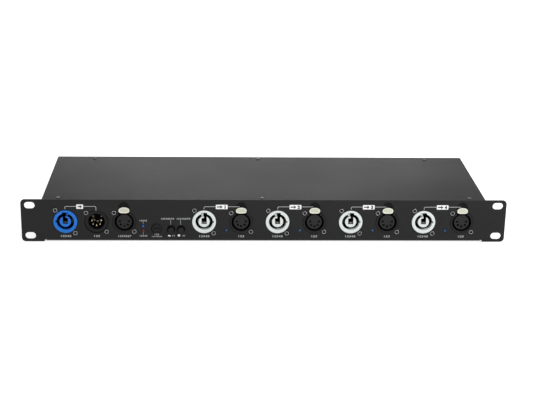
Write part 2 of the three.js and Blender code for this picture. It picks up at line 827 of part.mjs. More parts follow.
// The push tab, the arm behind it with the latching hook, and the barrel it turns on
function latch() {
  const radius = (tabTop - tabBottom) / 2;
  const half = tabWidth / 2 - radius;
  const middle = tabBottom + radius;
  const pill = new THREE.Shape([
    ...circlePoints(half, middle, radius, smallSides, -quarterTurn, halfTurn),
    ...circlePoints(-half, middle, radius, smallSides, quarterTurn, halfTurn),
  ]);
  const back = tabSheet - tabFront;
  const bite = bar(0, 0, dataShellRadius + seat, -tabFront - overrun, back + overrun, largeSides);
  const stem = block(-tabStemWidth / 2, tabStemWidth / 2, -tabFront, back, tabStemBottom, middle);
  const tab = plate(pill, -tabFront, back).subtract(bite).add(stem);
  const hookBack = latchHookFront + latchHookDepth;
  const arm = new THREE.Shape([
    new THREE.Vector2(back - tabSheet / 2, latchArmBottom),
    new THREE.Vector2(latchHookFront, latchArmBottom),
    new THREE.Vector2(latchHookFront, latchHookBottom + latchHookDepth),
    new THREE.Vector2(hookBack, latchHookBottom),
    new THREE.Vector2(hookBack, latchArmTop),
    new THREE.Vector2(back - tabSheet / 2, latchArmTop),
  ]);
  const pivotHalf = latchPivotWidth / 2;
  const barrel = axle(latchPivotDepth, latchPivotHeight, latchPivotRadius, -pivotHalf, pivotHalf, smallSides);
  return tab.add(section(arm, -latchArmWidth / 2, latchArmWidth / 2)).add(barrel);
}

// An indicator lamp with its collar and the spacer that reaches back to the board
function lamp() {
  const end = boardFront - seat;
  const domeShares = [[0.62, 0.8], [1, 0]];
  const dome = domeShares.map(([across, out]) => [across * lampRadius, -out * lampProud]);
  return turned([
    [0, end],
    [0, -lampProud],
    ...dome,
    [lampRadius, wallBack],
    [lampCollarRadius, wallBack],
    [lampCollarRadius, wallBack + lampCollarDepth],
    [lampRadius, wallBack + lampCollarDepth],
    [lampRadius, end],
  ], smallSides);
}

function servicePlug() {
  const rimFront = -headSeat - plugRimDepth;
  const body = turned([
    [0, plugStemLength],
    [0, rimFront],
    [plugRimRadius - plugRimDepth / 2, rimFront],
    [plugRimRadius, rimFront + plugRimDepth / 2],
    [plugRimRadius, -headSeat],
    [plugStemRadius, -headSeat],
    [plugStemRadius, plugStemLength],
  ], mediumSides);
  const dimple = (side) => {
    const x = side * plugDimpleOffset;
    return bar(x, 0, plugDimpleRadius, rimFront - overrun, rimFront + plugDimpleDepth, smallSides);
  };
  return body.subtract(dimple(-1)).subtract(dimple(1));
}

function serviceSocket() {
  const [half, tall] = [socketWidth / 2, socketHeight / 2];
  const back = boardFront - seat;
  const body = block(-half, half, socketFront, back, -tall, tall);
  const [innerHalf, innerTall] = [half - socketWall, tall - socketWall];
  const front = socketFront - overrun;
  return body.subtract(block(-innerHalf, innerHalf, front, back - socketWall, -innerTall, innerTall));
}

function pushButton() {
  const collarBack = wallBack + buttonCollarDepth;
  const cap = turned([
    [0, buttonSkirtEnd],
    [0, -buttonProud],
    [buttonRadius - buttonCrown, -buttonProud],
    [buttonRadius, buttonCrown - buttonProud],
    [buttonRadius, wallBack],
    [buttonCollarRadius, wallBack],
    [buttonCollarRadius, collarBack],
    [buttonRadius, collarBack],
    [buttonRadius, buttonSkirtEnd],
  ], mediumSides);
  const half = plungerWidth / 2;
  return cap.add(block(-half, half, buttonSkirtEnd - overrun, plungerEnd, -half, half));
}

function switchBody() {
  const [half, tall] = [switchWidth / 2, switchHeight / 2];
  const body = block(-half, half, switchFront, boardFront - seat, -tall, tall);
  const bore = plungerWidth / 2 + seat;
  const front = switchFront - overrun;
  return body.subtract(block(-bore, bore, front, switchFront + switchBore, -bore, bore));
}

// A board that stands behind the panel, with a chip and a header on its back
function standingBoard(left, right, headerX, chipXs) {
  const back = boardFront + boardSheet;
  let solid = block(left, right, boardFront, back, boardBottom, boardTop);
  const inside = back - boardSheet / 2;
  const headerEnd = back + headerDepth;
  const headerTop = boardBottom + headerHeight;
  const header = [headerX - headerWidth / 2, headerX + headerWidth / 2, inside, headerEnd];
  solid = solid.add(block(...header, boardBottom, headerTop));
  const middle = (boardBottom + boardTop) / 2;
  for (const x of chipXs) {
    const across = [x - chipWidth / 2, x + chipWidth / 2, inside, back + chipDepth];
    solid = solid.add(block(...across, middle - chipHeight / 2, middle + chipHeight / 2));
  }
  return solid;
}

function outputBoard() {
  return standingBoard(-outputBoardLeft, outputBoardRight, -outputBoardLeft / 2, [outputBoardRight / 3]);
}

function inputBoard() {
  const left = dataInX - inputBoardLeft;
  const chipXs = inputChipShares.map((share) => left + share * (inputBoardEnd - left));
  return standingBoard(left, inputBoardEnd, inputHeaderX, chipXs);
}

function supplyPlace(share) {
  return [supplyLeft + share * supplyLength, (supplyFront + supplyRear) / 2];
}

// The supply board carries its two headers and a smoothing capacitor
function supplyBoard() {
  const top = supplyHeight + boardSheet;
  let solid = block(supplyLeft, supplyRight, supplyFront, supplyRear, supplyHeight, top);
  for (const [x, y] of supplyHoles()) {
    const hole = post(x, y, supplyHoleRadius, supplyHeight - overrun, top + overrun, smallSides);
    solid = solid.subtract(hole);
  }
  const inside = top - boardSheet / 2;
  for (const [x, header] of [[supplyInletX, supplyInlet], [supplyOutletX, supplyOutlet]]) {
    const half = header.width / 2;
    const across = [x - half, x + half, supplyFront, supplyFront + header.depth];
    solid = solid.add(block(...across, inside, top + header.height));
  }
  const [x, y] = supplyPlace(capacitorXShare);
  return solid.add(post(x, y, capacitorRadius, inside, top + capacitorHeight, mediumSides));
}

function transformer() {
  const [x, y] = supplyPlace(transformerXShare);
  const low = supplyHeight + boardSheet + seat;
  const [coreX, coreY] = [transformerWidth / 2, transformerDepth / 2];
  const [coilX, coilY] = [windingWidth / 2, windingDepth / 2];
  const coilLow = low + (transformerHeight - windingHeight) / 2;
  const core = block(x - coreX, x + coreX, y - coreY, y + coreY, low, low + transformerHeight);
  return core.add(block(x - coilX, x + coilX, y - coilY, y + coilY, coilLow, coilLow + windingHeight));
}

const mainsLeadDepth = powerBodyEnd + seat + contactPlateDepth + contactTabDepth + seat + mainsLeadRadius;

// The mains lead runs behind the connectors, with a branch to the supply board
function mainsLead() {
  const run = axle(mainsLeadDepth, powerAxisHeight, mainsLeadRadius, inletX, lastOutput.outletX, smallSides);
  const end = supplyFront - seat;
  const endHeight = supplyHeight + boardSheet + supplyInlet.height / 2;
  const branch = lead([
    [supplyInletX, mainsLeadDepth, powerAxisHeight],
    [supplyInletX, (2 * mainsLeadDepth + end) / 3, branchSagHeight],
    [supplyInletX, (mainsLeadDepth + 2 * end) / 3, endHeight],
    [supplyInletX, end, endHeight],
  ], branchLeadRadius, smallSides);
  return run.add(branch);
}

function lowVoltageLead() {
  const boardEnd = boardFront + boardSheet + headerDepth + seat;
  const headerMiddle = boardBottom + headerHeight / 2;
  const end = supplyFront - seat;
  const endHeight = supplyHeight + boardSheet + supplyOutlet.height / 2;
  const { across, along } = lowVoltageTurnShares;
  const turnX = inputHeaderX + across * (supplyOutletX - inputHeaderX);
  const turnDepth = boardEnd + along * (end - boardEnd);
  return lead([
    [inputHeaderX, boardEnd, headerMiddle],
    [inputHeaderX, (2 * boardEnd + turnDepth) / 3, headerMiddle],
    [turnX, turnDepth, headerMiddle],
    [supplyOutletX, (turnDepth + 2 * end) / 3, endHeight],
    [supplyOutletX, end, endHeight],
  ], lowVoltageLeadRadius, mediumSides);
}

// The signal lead lies on the tray's floor under the boards' headers
function signalLead() {
  const y = boardFront + boardSheet + headerDepth / 2;
  const z = floorTop + seat + signalLeadRadius;
  const start = inputHeaderX - headerWidth / 2;
  return axle(y, z, signalLeadRadius, start, lastOutput.dataX, smallSides);
}

// Materials

function material(color, roughness, metalness) {
  return new THREE.MeshStandardMaterial({ color, roughness, metalness });
}

const powderCoat = material(0x303030, 0.6, 0.2);
const coverCoat = material(0x4c4c4c, 0.55, 0.2);
const zincSteel = material(0x9a9b9d, 0.35, 0.9);
const bluePlastic = material(0x2878e6, 0.35, 0);
const greyPlastic = material(0xdce6e1, 0.35, 0);
const blackPlastic = material(0x1b1b1c, 0.5, 0);
const contactMetal = material(0xc0b9a4, 0.3, 0.9);
const goldPlate = material(0xd8b25a, 0.25, 1);
const ivoryMetal = material(0xe1e1cd, 0.4, 0.1);
const blueLens = material(0x1e6ed2, 0.2, 0);
const redLens = material(0xaa3c3c, 0.2, 0);
const blackRubber = material(0x202020, 0.8, 0);
const boardGreen = material(0x1f5a38, 0.5, 0);
const leadBlack = material(0x151515, 0.6, 0);
const leadGrey = material(0x8a8d90, 0.6, 0);
const coreGrey = material(0x5c5c60, 0.6, 0.3);

// Assembly

const splitter = new THREE.Group();
// The origin is under the middle of the whole box, on the plane of the ears' bottom edges
splitter.position.set(0, (frontReach - caseDepth) / 2, 0);

function place(parent, name, solid, look, x = 0, y = 0, z = 0) {
  const geometry = solid.isBufferGeometry ? solid : geometryOf(solid);
  const mesh = new THREE.Mesh(geometry, look);
  mesh.name = name;
  mesh.position.set(x, y, z);
  parent.add(mesh);
}

function groupAt(x, y, z) {
  const group = new THREE.Group();
  group.position.set(x, y, z);
  splitter.add(group);
  return group;
}

function addCase() {
  place(splitter, 'front_panel', frontPanel(), powderCoat);
  place(splitter, 'chassis_tray', chassisTray(), powderCoat);
  place(splitter, 'top_cover', topCover(), coverCoat);
  place(splitter, 'front_rail', frontRail(), zincSteel);
  const screw = geometryOf(coverScrew());
  frontScrewXs.forEach((x, i) => {
    place(splitter, `cover_screw_front_${i + 1}`, screw, zincSteel, x, frontScrewY, coverTop);
  });
  rearScrewXs.forEach((x, i) => {
    place(splitter, `cover_screw_rear_${i + 1}`, screw, zincSteel, x, rearScrewY, coverTop);
  });
}

function addPowerConnectors() {
  const inlet = groupAt(inletX, 0, powerAxisHeight);
  place(inlet, 'power_inlet', powerConnector(-1), bluePlastic);
  place(inlet, 'power_inlet_contacts', powerContacts(), contactMetal);
  const outletBody = geometryOf(powerConnector(1));
  const outletContacts = geometryOf(powerContacts());
  for (const { number, outletX } of outputs) {
    const outlet = groupAt(outletX, 0, powerAxisHeight);
    place(outlet, `power_outlet_${number}`, outletBody, greyPlastic);
    place(outlet, `power_outlet_${number}_contacts`, outletContacts, contactMetal);
  }
}

function addDataConnectors() {
  const input = groupAt(dataInX, 0, dataAxisHeight);
  place(input, 'data_in_shell', maleShell(), blackPlastic);
  place(input, 'data_in_insert', maleInsert(), blackPlastic);
  place(input, 'data_in_pins', malePins(), goldPlate);
  const shell = geometryOf(femaleShell());
  const insert = geometryOf(femaleInsert());
  const tab = geometryOf(latch());
  const female = (name, x) => {
    const group = groupAt(x, 0, dataAxisHeight);
    place(group, `${name}_shell`, shell, blackPlastic);
    place(group, `${name}_insert`, insert, blackPlastic);
    place(group, `${name}_latch`, tab, ivoryMetal);
  };
  female('data_link', dataLinkX);
  for (const { number, dataX } of outputs) {
    female(`data_out_${number}`, dataX);
  }
}

function addLamps() {
  const shape = geometryOf(lamp());
  place(splitter, 'signal_lamp', shape, blueLens, inputLampX, 0, signalLampHeight);
  place(splitter, 'power_lamp', shape, redLens, inputLampX, 0, powerLampHeight);
  for (const { number, lampX } of outputs) {
    place(splitter, `output_lamp_${number}`, shape, blueLens, lampX, 0, outputLampHeight);
  }
}

function addControls() {
  const service = groupAt(plugX, 0, plugHeight);
  place(service, 'service_plug', servicePlug(), blackRubber);
  place(service, 'service_socket', serviceSocket(), zincSteel);
  const button = geometryOf(pushButton());
  const body = geometryOf(switchBody());
  for (const [name, x] of Object.entries(buttonXs)) {
    const group = groupAt(x, 0, buttonHeight);
    place(group, name, button, blackPlastic);
    place(group, name.replace('button', 'switch'), body, blackPlastic);
  }
}

function addElectronics() {
  place(splitter, 'input_board', inputBoard(), boardGreen);
  const board = geometryOf(outputBoard());
  for (const { number, dataX } of outputs) {
    place(splitter, `output_board_${number}`, board, boardGreen, dataX);
  }
  place(splitter, 'supply_board', supplyBoard(), boardGreen);
  place(splitter, 'transformer', transformer(), coreGrey);
  place(splitter, 'mains_lead', mainsLead(), leadBlack);
  place(splitter, 'low_voltage_lead', lowVoltageLead(), leadGrey);
  place(splitter, 'signal_lead', signalLead(), leadGrey);
}

addCase();
addPowerConnectors();
addDataConnectors();
addLamps();
addControls();
addElectronics();

export default splitter;
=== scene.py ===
import math

import bmesh
import bpy
from mathutils import Matrix, Vector


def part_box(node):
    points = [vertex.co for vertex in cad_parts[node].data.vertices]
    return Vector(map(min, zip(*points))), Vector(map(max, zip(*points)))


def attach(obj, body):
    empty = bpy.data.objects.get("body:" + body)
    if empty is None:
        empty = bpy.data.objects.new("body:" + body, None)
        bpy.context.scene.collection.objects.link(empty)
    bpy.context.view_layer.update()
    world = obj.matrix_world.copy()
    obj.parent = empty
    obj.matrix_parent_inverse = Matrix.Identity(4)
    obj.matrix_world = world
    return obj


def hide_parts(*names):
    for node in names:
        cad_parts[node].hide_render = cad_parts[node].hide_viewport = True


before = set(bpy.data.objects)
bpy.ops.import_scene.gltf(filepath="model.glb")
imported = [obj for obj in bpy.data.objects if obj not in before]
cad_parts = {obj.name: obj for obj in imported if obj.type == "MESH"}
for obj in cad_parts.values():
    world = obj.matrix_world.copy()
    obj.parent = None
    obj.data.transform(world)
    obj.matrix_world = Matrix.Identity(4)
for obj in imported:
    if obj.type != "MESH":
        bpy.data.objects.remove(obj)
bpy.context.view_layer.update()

# Shapes are drawn in millimetres: X along the panel, depth into the case, Z up from the ears' bottom edges
MM = 0.001
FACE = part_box("front_panel")[0].y  # the panel's front face, in metres
TURN = 2 * math.pi
QUARTER = math.pi / 2

# Panel and case
PANEL_WIDTH = 482.6
PANEL_HEIGHT = 44.0
PANEL_CORNER = 4.0
SHEET = 1.5
BEND = 2.4
SEAT = 0.3  # clearance between pieces that meet
BEHIND = SHEET + SEAT  # depth at which what sits behind the panel starts
TRAY_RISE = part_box("chassis_tray")[0].z / MM
TRAY_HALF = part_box("chassis_tray")[1].x / MM
CASE_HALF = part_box("top_cover")[1].x / MM
FOLD_HALF = TRAY_HALF - 3.0
EAR_START = FOLD_HALF + 2.0
RELIEF_TOP = 1.7
RELIEF_CORNER = 0.4
FOLD_TOP = TRAY_RISE + BEND
FOLD_LAP = 0.9  # how far the fold's section runs up inside the panel's sheet
FOOT = 12.5
JOGGLE_RUN = 2.0
CASE_DEPTH = 145.0
COVER_SHEET = 1.2
COVER_BEND = 2.0
COVER_TOP = 43.0
COVER_FRONT = 1.8
TRAY_TOP = 41.5
REAR_FLANGE = 14.0
STANDOFF_INSET = 5.0
STANDOFF_RADIUS = 3.0
EARTH_INSET = 25.5
EARTH_DEPTH = 62.0
EARTH_NUT = 4.0
EARTH_NUT_TOP = 5.7
EARTH_STUD = 2.0
EARTH_STUD_TOP = 14.5
EDGE = 0.16  # rounding of a cut steel edge
CREASE = 30  # angle in degrees from which a sheet's edge is drawn sharp

# Rack slots
SLOT_WIDTH = 10.4
SLOT_HEIGHT = 7.0
SLOT_X = 232.55
SLOT_STEP = 31.75
SLOT_ROWS = ((PANEL_HEIGHT - SLOT_STEP) / 2, (PANEL_HEIGHT + SLOT_STEP) / 2)

# Mains connectors
POWER_PROUD = 1.2
POWER_RING = 11.75
POWER_GROOVE = 8.65
POWER_CORE = 5.6
POWER_CORE_FRONT = -0.4
POWER_GROOVE_END = 15.0
POWER_END = 18.0
POWER_KEY_WIDTH = 5.8
POWER_KEY_REACH = 9.7
POWER_KEY_DEPTH = 6.0
POWER_SMALL_KEY = 2.2
INLET_SHADE_DEPTH = 2.4  # depth at which the wall of the inlet's groove turns dark, a painted shade deep in the groove
OUTLET_SHADE_DEPTH = 4.5  # the same for the outlets
CORE_SHADE_DEPTH = 0.9  # the same for the core in the groove
SHADE_LAP = 0.02
SHADE_EDGE = 0.01
RIB_INNER = 0.7  # the rib beside the core's slot, from the axis
RIB_OUTER = 2.7
RIB_FRONT = 1.8
CAVITY_HALF = 2.55
CAVITY_LOW = -2.5
CAVITY_TOP = 3.8
CAVITY_SLOT = 2.8
PRONG_STEP = 1.45
PRONG_HALF = 0.4
PRONG_LOW = CAVITY_LOW + 0.1
PRONG_TOP = CAVITY_LOW + 1.9
PRONG_FRONT = 1.4
PRONG_BACK = 3.0

# Data connectors
DATA_PROUD = 0.5
DATA_SHELL = 11.5
DATA_GROOVE = 9.5
DATA_CUP = 8.3
DATA_GROOVE_END = 16.0
DATA_END = 18.0
DATA_LIP = 6.9
DATA_RIM_BACK = 3.4
DATA_INSERT = 7.55
DATA_INSERT_FRONT = 0.8
DATA_INSERT_TAIL = 19.9
DATA_INSERT_FACE = DATA_INSERT_FRONT + 6.0
DATA_INSERT_NECK = 6.6
DATA_INSERT_SHOULDER = 15.7
MALE_RIM = 1.2
MALE_INSERT_FRONT = 14.4
MALE_GAP = 0.55
CONTACT_CIRCLE = 4.6
CONTACT_STEP = math.radians(49)
CONTACT_HOLE = 1.2
SLEEVE_RADIUS = CONTACT_HOLE - 0.06
SLEEVE_BORE = 0.72
SLEEVE_FRONT = 5.4
SLEEVE_BACK = 6.6
PIN_RADIUS = 0.75
PIN_FRONT = 1.8
PIN_TIP = 0.8
PIN_COLLAR = 1.25
PIN_COLLAR_FRONT = MALE_INSERT_FRONT - 0.6
PIN_COLLAR_LENGTH = 0.7

# Flanges of the connectors, behind the panel
POWER_FLANGE_HALF = 13.0
DATA_FLANGE_HALF = 12.3
FLANGE_RISE = 15.5
FLANGE_CORNER = 3.0
FLANGE_SHEET = 2.0

# Latch tab
TAB_HALF = 5.3
TAB_TOP = 15.55
TAB_LOW = 9.55
TAB_MIDDLE = (TAB_LOW + TAB_TOP) / 2
TAB_FRONT = -1.2
TAB_BACK = 0.2
TAB_GAP = 0.5
ARCH_HALF = TAB_HALF + TAB_GAP
ARCH_RISE = TAB_TOP + TAB_GAP - TAB_MIDDLE
TAB_RIM = 1.1
TAB_RIM_RISE = 0.7
TAB_SQUARE = 0.62  # power that squares the tab's lower half, where 1 is an ellipse
ARM_HALF = 2.2
ARM_LOW = 12.8
ARM_TOP = 14.8
HOOK_FRONT = 6.4
HOOK_BACK = 7.9
HOOK_LOW = 8.9
PIVOT_RADIUS = 1.1
PIVOT_HALF = 6.3
PIVOT_DEPTH = 3.6
PIVOT_HEIGHT = 15.9
HOUSING_HALF = 7.3
HOUSING_LOW = 8.2
HOUSING_TOP = 17.8
HOUSING_WALL = 0.6
HOUSING_BACK = 10.6
HOUSING_END = 12.0

# Fasteners, lamps, plug and buttons
SCREW_HEAD = 2.05
SCREW_HEAD_HEIGHT = 1.0
SCREW_SHAFT = 1.3
SCREW_LENGTH = 7.0
POWER_SCREW = (9.5, 12.0)
DATA_SCREW = (9.9, 9.9)
CASE_HEAD = 1.8
CASE_HEAD_HEIGHT = 0.8
CASE_SHAFT = 1.5
CASE_LENGTH = 4.6
CASE_HEAD_GAP = 0.02
HOLE_GAP = 0.15
LAMP_RADIUS = 1.35
LAMP_PROUD = 1.1
LAMP_END = 7.0
LAMP_GAP = 0.2
LAMP_COLLAR = 1.95
COLLAR_BACK = BEHIND + 1.0
BUTTON_HOLE = 3.95
BUTTON_RADIUS = 3.0
BUTTON_COLLAR = 4.3
PLUNGER_FRONT = 4.6
PLUNGER_BACK = 10.4
PLUNGER_HALF = 1.5
PLUG_HOLE = 3.6
PLUG_RADIUS = 4.6
PLUG_PROUD = 1.1
PLUG_RIM_BACK = -0.3
PLUG_SHANK = 3.3
PLUG_END = 5.0
DIMPLE_RADIUS = 0.8
DIMPLE_X = 1.6
DIMPLE_Z = 0.3
DIMPLE_FLOOR = 2.6
# A near-black ring round the plug, set off to the lower left: painted shadow
SHADOW_RING_OUTER = 5.25
SHADOW_RING_INNER = 3.4


# Outlines: lists of (x, z) points that close on themselves

def arc(radius, start, end, steps, x=0.0, z=0.0):
    return [
        (x + radius * math.cos(start + (end - start) * i / steps),
         z + radius * math.sin(start + (end - start) * i / steps))
        for i in range(steps + 1)
    ]


def circle(radius, x=0.0, z=0.0, steps=96):
    return arc(radius, 0, TURN, steps, x, z)[:-1]


def rounded(corners, steps=6):
    """A closed outline whose corners, given as (x, z, radius), are rounded."""
    outline = []
    count = len(corners)
    for i, (x, z, radius) in enumerate(corners):
        here = Vector((x, z))
        if radius == 0:
            outline.append((x, z))
            continue
        back = (Vector(corners[i - 1][:2]) - here).normalized()
        ahead = (Vector(corners[(i + 1) % count][:2]) - here).normalized()
        half = back.angle(ahead) / 2
        centre = here + (back + ahead).normalized() * (radius / math.sin(half))
        first = here + back * (radius / math.tan(half)) - centre
        last = here + ahead * (radius / math.tan(half)) - centre
        start = math.atan2(first.y, first.x)
        sweep = (math.atan2(last.y, last.x) - start + math.pi) % TURN - math.pi
        outline += arc(radius, start, start + sweep, steps, centre.x, centre.y)
    return outline


def box_outline(left, right, low, high, radius):
    corners = ((left, low), (right, low), (right, high), (left, high))
    return rounded([(x, z, radius) for x, z in corners])


def slot_outline(x, z, width, height, steps=24):
    radius = height / 2
    reach = width / 2 - radius
    return (arc(radius, -QUARTER, QUARTER, steps, x + reach, z)
            + arc(radius, QUARTER, 3 * QUARTER, steps, x - reach, z))


def notched_circle(radius, notches, steps=96):
    """A circle that steps out to each notch, given as (direction, half width, reach)."""
    outline = []
    notches = sorted(notches)
    for i, (direction, half, reach) in enumerate(notches):
        lean = math.asin(half / radius)
        along = Vector((math.cos(direction), math.sin(direction)))
        across = Vector((-along.y, along.x))
        outline.append(tuple(along * reach - across * half))
        outline.append(tuple(along * reach + across * half))
        following = notches[(i + 1) % len(notches)]
        end = following[0] - math.asin(following[1] / radius)
        while end < direction:
            end += TURN
        outline += arc(radius, direction + lean, end, steps // len(notches))
    return outline


# Meshes, in millimetres

WELD = 1e-4  # corners nearer to each other than this become one


def linked(data, name="passing"):
    """A new object in the scene, by default one that is soon removed."""
    thing = bpy.data.objects.new(name, data)
    bpy.context.collection.objects.link(thing)
    return thing


def drawn(thing):
    """An object as it is after its modifiers, or a curve's object once it is filled and raised."""
    return thing.evaluated_get(bpy.context.evaluated_depsgraph_get())


def slab(outlines, near, far, bevel, steps=3):
    """The solid inside the first outline and outside the others, from one depth to another."""
    curve = bpy.data.curves.new("outline", "CURVE")
    curve.dimensions = "2D"
    curve.fill_mode = "BOTH"
    curve.extrude = (far - near) / 2 - bevel
    curve.bevel_depth = bevel
    curve.bevel_resolution = steps
    curve.offset = -bevel
    for outline in outlines:
        spline = curve.splines.new("POLY")
        spline.points.add(len(outline) - 1)
        for point, (x, z) in zip(spline.points, outline):
            point.co = (x, z, 0, 1)
        spline.use_cyclic_u = True
    carrier = linked(curve)
    mesh = bpy.data.meshes.new_from_object(drawn(carrier))
    bpy.data.objects.remove(carrier)
    bpy.data.curves.remove(curve)
    mesh.transform(Matrix.Translation((0, (near + far) / 2, 0)) @ Matrix.Rotation(QUARTER, 4, "X"))
    return mesh


def turned(profile, steps=96):
    """The solid that a closed outline of (radius, depth) points sweeps about the depth axis."""
    shape = bmesh.new()
    rings = []
    for radius, depth in profile:
        if radius < WELD:
            rings.append([shape.verts.new((0, depth, 0))])
        else:
            rings.append([shape.verts.new((x, depth, z)) for x, z in circle(radius, steps=steps)])
    for one, two in zip(rings, rings[1:] + rings[:1]):
        for i in range(steps):
            j = (i + 1) % steps
            corners = [one[i % len(one)], one[j % len(one)], two[j % len(two)], two[i % len(two)]]
            unique = list(dict.fromkeys(corners))
            if len(unique) > 2:
                shape.faces.new(unique)
    bmesh.ops.recalc_face_normals(shape, faces=shape.faces)
    mesh = bpy.data.meshes.new("turned")
    shape.to_mesh(mesh)
    shape.free()
    return mesh


def swept_x(outline, left, right, bevel=0.0):
    """The solid inside a closed outline of (depth, z) points, from one X to another."""
    mesh = slab([outline], left, right, bevel)
    mesh.transform(Matrix(((0, 1, 0, 0), (1, 0, 0, 0), (0, 0, 1, 0), (0, 0, 0, 1))))
    mesh.flip_normals()
    return mesh


def tube(inner, outer, near, far, steps=96):
    """A plain ring about the depth axis, or a disc where the inner radius is 0."""
    return turned([(inner, near), (outer, near), (outer, far), (inner, far)], steps)


def facing_up(mesh):
    """Turns a shape drawn facing the viewer so that it faces up."""
    mesh.transform(Matrix.Rotation(-QUARTER, 4, "X"))
    return mesh


def moved(mesh, x, depth, z):
    mesh.transform(Matrix.Translation((x, depth, z)))
    return mesh


def united(first, second):
    """One solid from two that overlap."""
    body = linked(first)
    tool = linked(second)
    union = body.modifiers.new("union", "BOOLEAN")
    union.operation = "UNION"
    union.solver = "EXACT"
    union.object = tool
    mesh = bpy.data.meshes.new_from_object(drawn(body))
    bpy.data.objects.remove(body)
    bpy.data.objects.remove(tool)
    return mesh


def joined(name, parts, smooth=35):
    """One mesh in metres from (mesh, material) pairs in millimetres."""
    shape = bmesh.new()
    materials = []
    for mesh, look in parts:
        if look not in materials:
            materials.append(look)
        before = len(shape.faces)
        shape.from_mesh(mesh)
        shape.faces.ensure_lookup_table()
        for face in shape.faces[before:]:
            face.material_index = materials.index(look)
    bmesh.ops.remove_doubles(shape, verts=shape.verts, dist=WELD)
    bmesh.ops.scale(shape, vec=(MM, MM, MM), verts=shape.verts)
    merged = bpy.data.meshes.new(name)
    shape.to_mesh(merged)
    shape.free()
    for look in materials:
        merged.materials.append(look)
    merged.shade_smooth()
    merged.set_sharp_from_angle(angle=math.radians(smooth))
    return merged


def placed(name, mesh, x=0.0, z=0.0, depth=0.0, *, body="root", replaces=(), slot):
    """A piece of the object, placed in the frame and riding on a body. Like pieces share a mesh."""
    thing = linked(mesh, name)
    thing.location = (x * MM, FACE + depth * MM, z * MM)
    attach(thing, body)
    if replaces:
        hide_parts(*replaces)


def piece(name, parts, x=0.0, z=0.0, smooth=35, **role):
    """A piece with a mesh of its own."""
    placed(name, joined(name, parts, smooth), x, z, **role)


# Places along the panel, read from the frame

def middle(node):
    """A node's place on the panel, as (x, z)."""
    low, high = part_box(node)
    return (low.x + high.x) / 2 / MM, (low.z + high.z) / 2 / MM


PAIRS = range(1, 5)  # the numbers of the outlets, each with its data output
POWER = {name: middle(name) for name in ["power_inlet"] + [f"power_outlet_{i}" for i in PAIRS]}
DATA = {name: middle(f"{name}_insert") for name in ["data_link"] + [f"data_out_{i}" for i in PAIRS]}
DATA_IN = middle("data_in_insert")
LAMPS = {name: middle(name) for name in
         ["signal_lamp", "power_lamp"] + [f"output_lamp_{i}" for i in PAIRS]}
BUTTONS = {name: middle(name) for name in ["terminate_button", "filter_button"]}
PLUG = middle("service_plug")


# Materials

NOISE_LOW = 0.3  # a noise texture's values lie mostly between these two
NOISE_HIGH = 0.7


def fill(tree, node, inputs):
    """Gives a node's inputs their values, each a plain one or a socket to link."""
    for name, value in inputs.items():
        if isinstance(value, bpy.types.NodeSocket):
            tree.links.new(value, node.inputs[name])
        else:
            node.inputs[name].default_value = value
    return node


def new_node(tree, kind, inputs):
    return fill(tree, tree.nodes.new(f"ShaderNode{kind}"), inputs)


def new_material(name):
    """A material, its node tree, its shader and the object's own coordinates."""
    look = bpy.data.materials.new(name)
    look.use_nodes = True
    tree = look.node_tree
    return look, tree, tree.nodes["Principled BSDF"], new_node(tree, "TexCoord", {}).outputs["Object"]


def mapped(tree, where, setting, value):
    """Coordinates that are scaled or turned."""
    return new_node(tree, "Mapping", {setting: value, "Vector": where}).outputs["Vector"]


def noise(tree, where, scale, detail=3.0, roughness=0.55):
    inputs = {"Scale": scale, "Detail": detail, "Roughness": roughness, "Vector": where}
    return new_node(tree, "TexNoise", inputs).outputs["Fac"]


def ramp(tree, value, stops):
    node = new_node(tree, "ValToRGB", {"Fac": value})
    for stop, (place, colour) in zip(node.color_ramp.elements, stops):
        stop.position = place
        stop.color = (*colour, 1)
    return node.outputs["Color"]


def spread(tree, value, low, high):
    """A noise's values spread over a range."""
    inputs = {"Value": value, "From Min": NOISE_LOW, "From Max": NOISE_HIGH, "To Min": low, "To Max": high}
    return new_node(tree, "MapRange", inputs).outputs["Result"]


def bump(tree, height, strength, distance):
    inputs = {"Strength": strength, "Distance": distance, "Height": height}
    return new_node(tree, "Bump", inputs).outputs["Normal"]


def linear(colour):
    """The linear values of a colour that is given as red, green and blue up to 255."""
    shares = [channel / 255 for channel in colour]
    return [share / 12.92 if share <= 0.04045 else ((share + 0.055) / 1.055) ** 2.4 for share in shares]


def tones(colour, darker, lighter):
    """The stops of a ramp from a little under a colour to a little over it."""
    return [(NOISE_LOW, [channel * (1 - darker) for channel in linear(colour)]),
            (NOISE_HIGH, [channel * (1 + lighter) for channel in linear(colour)])]


def coated(name, colour, rough, grain, depth, specular):
    """Powder coat: a fine grain in the surface, with a soft unevenness of tone and gloss."""
    look, tree, shader, where = new_material(name)
    soft = noise(tree, where, 9.0, 4.0)
    fine = noise(tree, where, grain, 2.0, 0.6)
    fill(tree, shader, {
        "Base Color": ramp(tree, soft, tones(colour, 0.06, 0.06)),
        "Roughness": spread(tree, soft, rough - 0.04, rough + 0.04),
        "Specular IOR Level": specular,
        "Normal": bump(tree, fine, 0.35, depth),
    })
    return look


def moulded(name, colour, rough, grain=900.0, mottle=0.05, specular=0.5):
    """Moulded plastic: a faint spark-eroded texture, flow marks and worn-in gloss."""
    look, tree, shader, where = new_material(name)
    flow = noise(tree, mapped(tree, where, "Scale", (1.0, 0.35, 1.6)), 120.0, 3.0, 0.5)
    fine = noise(tree, where, grain, 4.0, 0.6)
    fill(tree, shader, {
        "Base Color": ramp(tree, flow, tones(colour, mottle, mottle)),
        "Roughness": spread(tree, fine, rough - 0.05, rough + 0.07),
        "Specular IOR Level": specular,
        "Normal": bump(tree, fine, 0.3, 0.00004),
    })
    return look


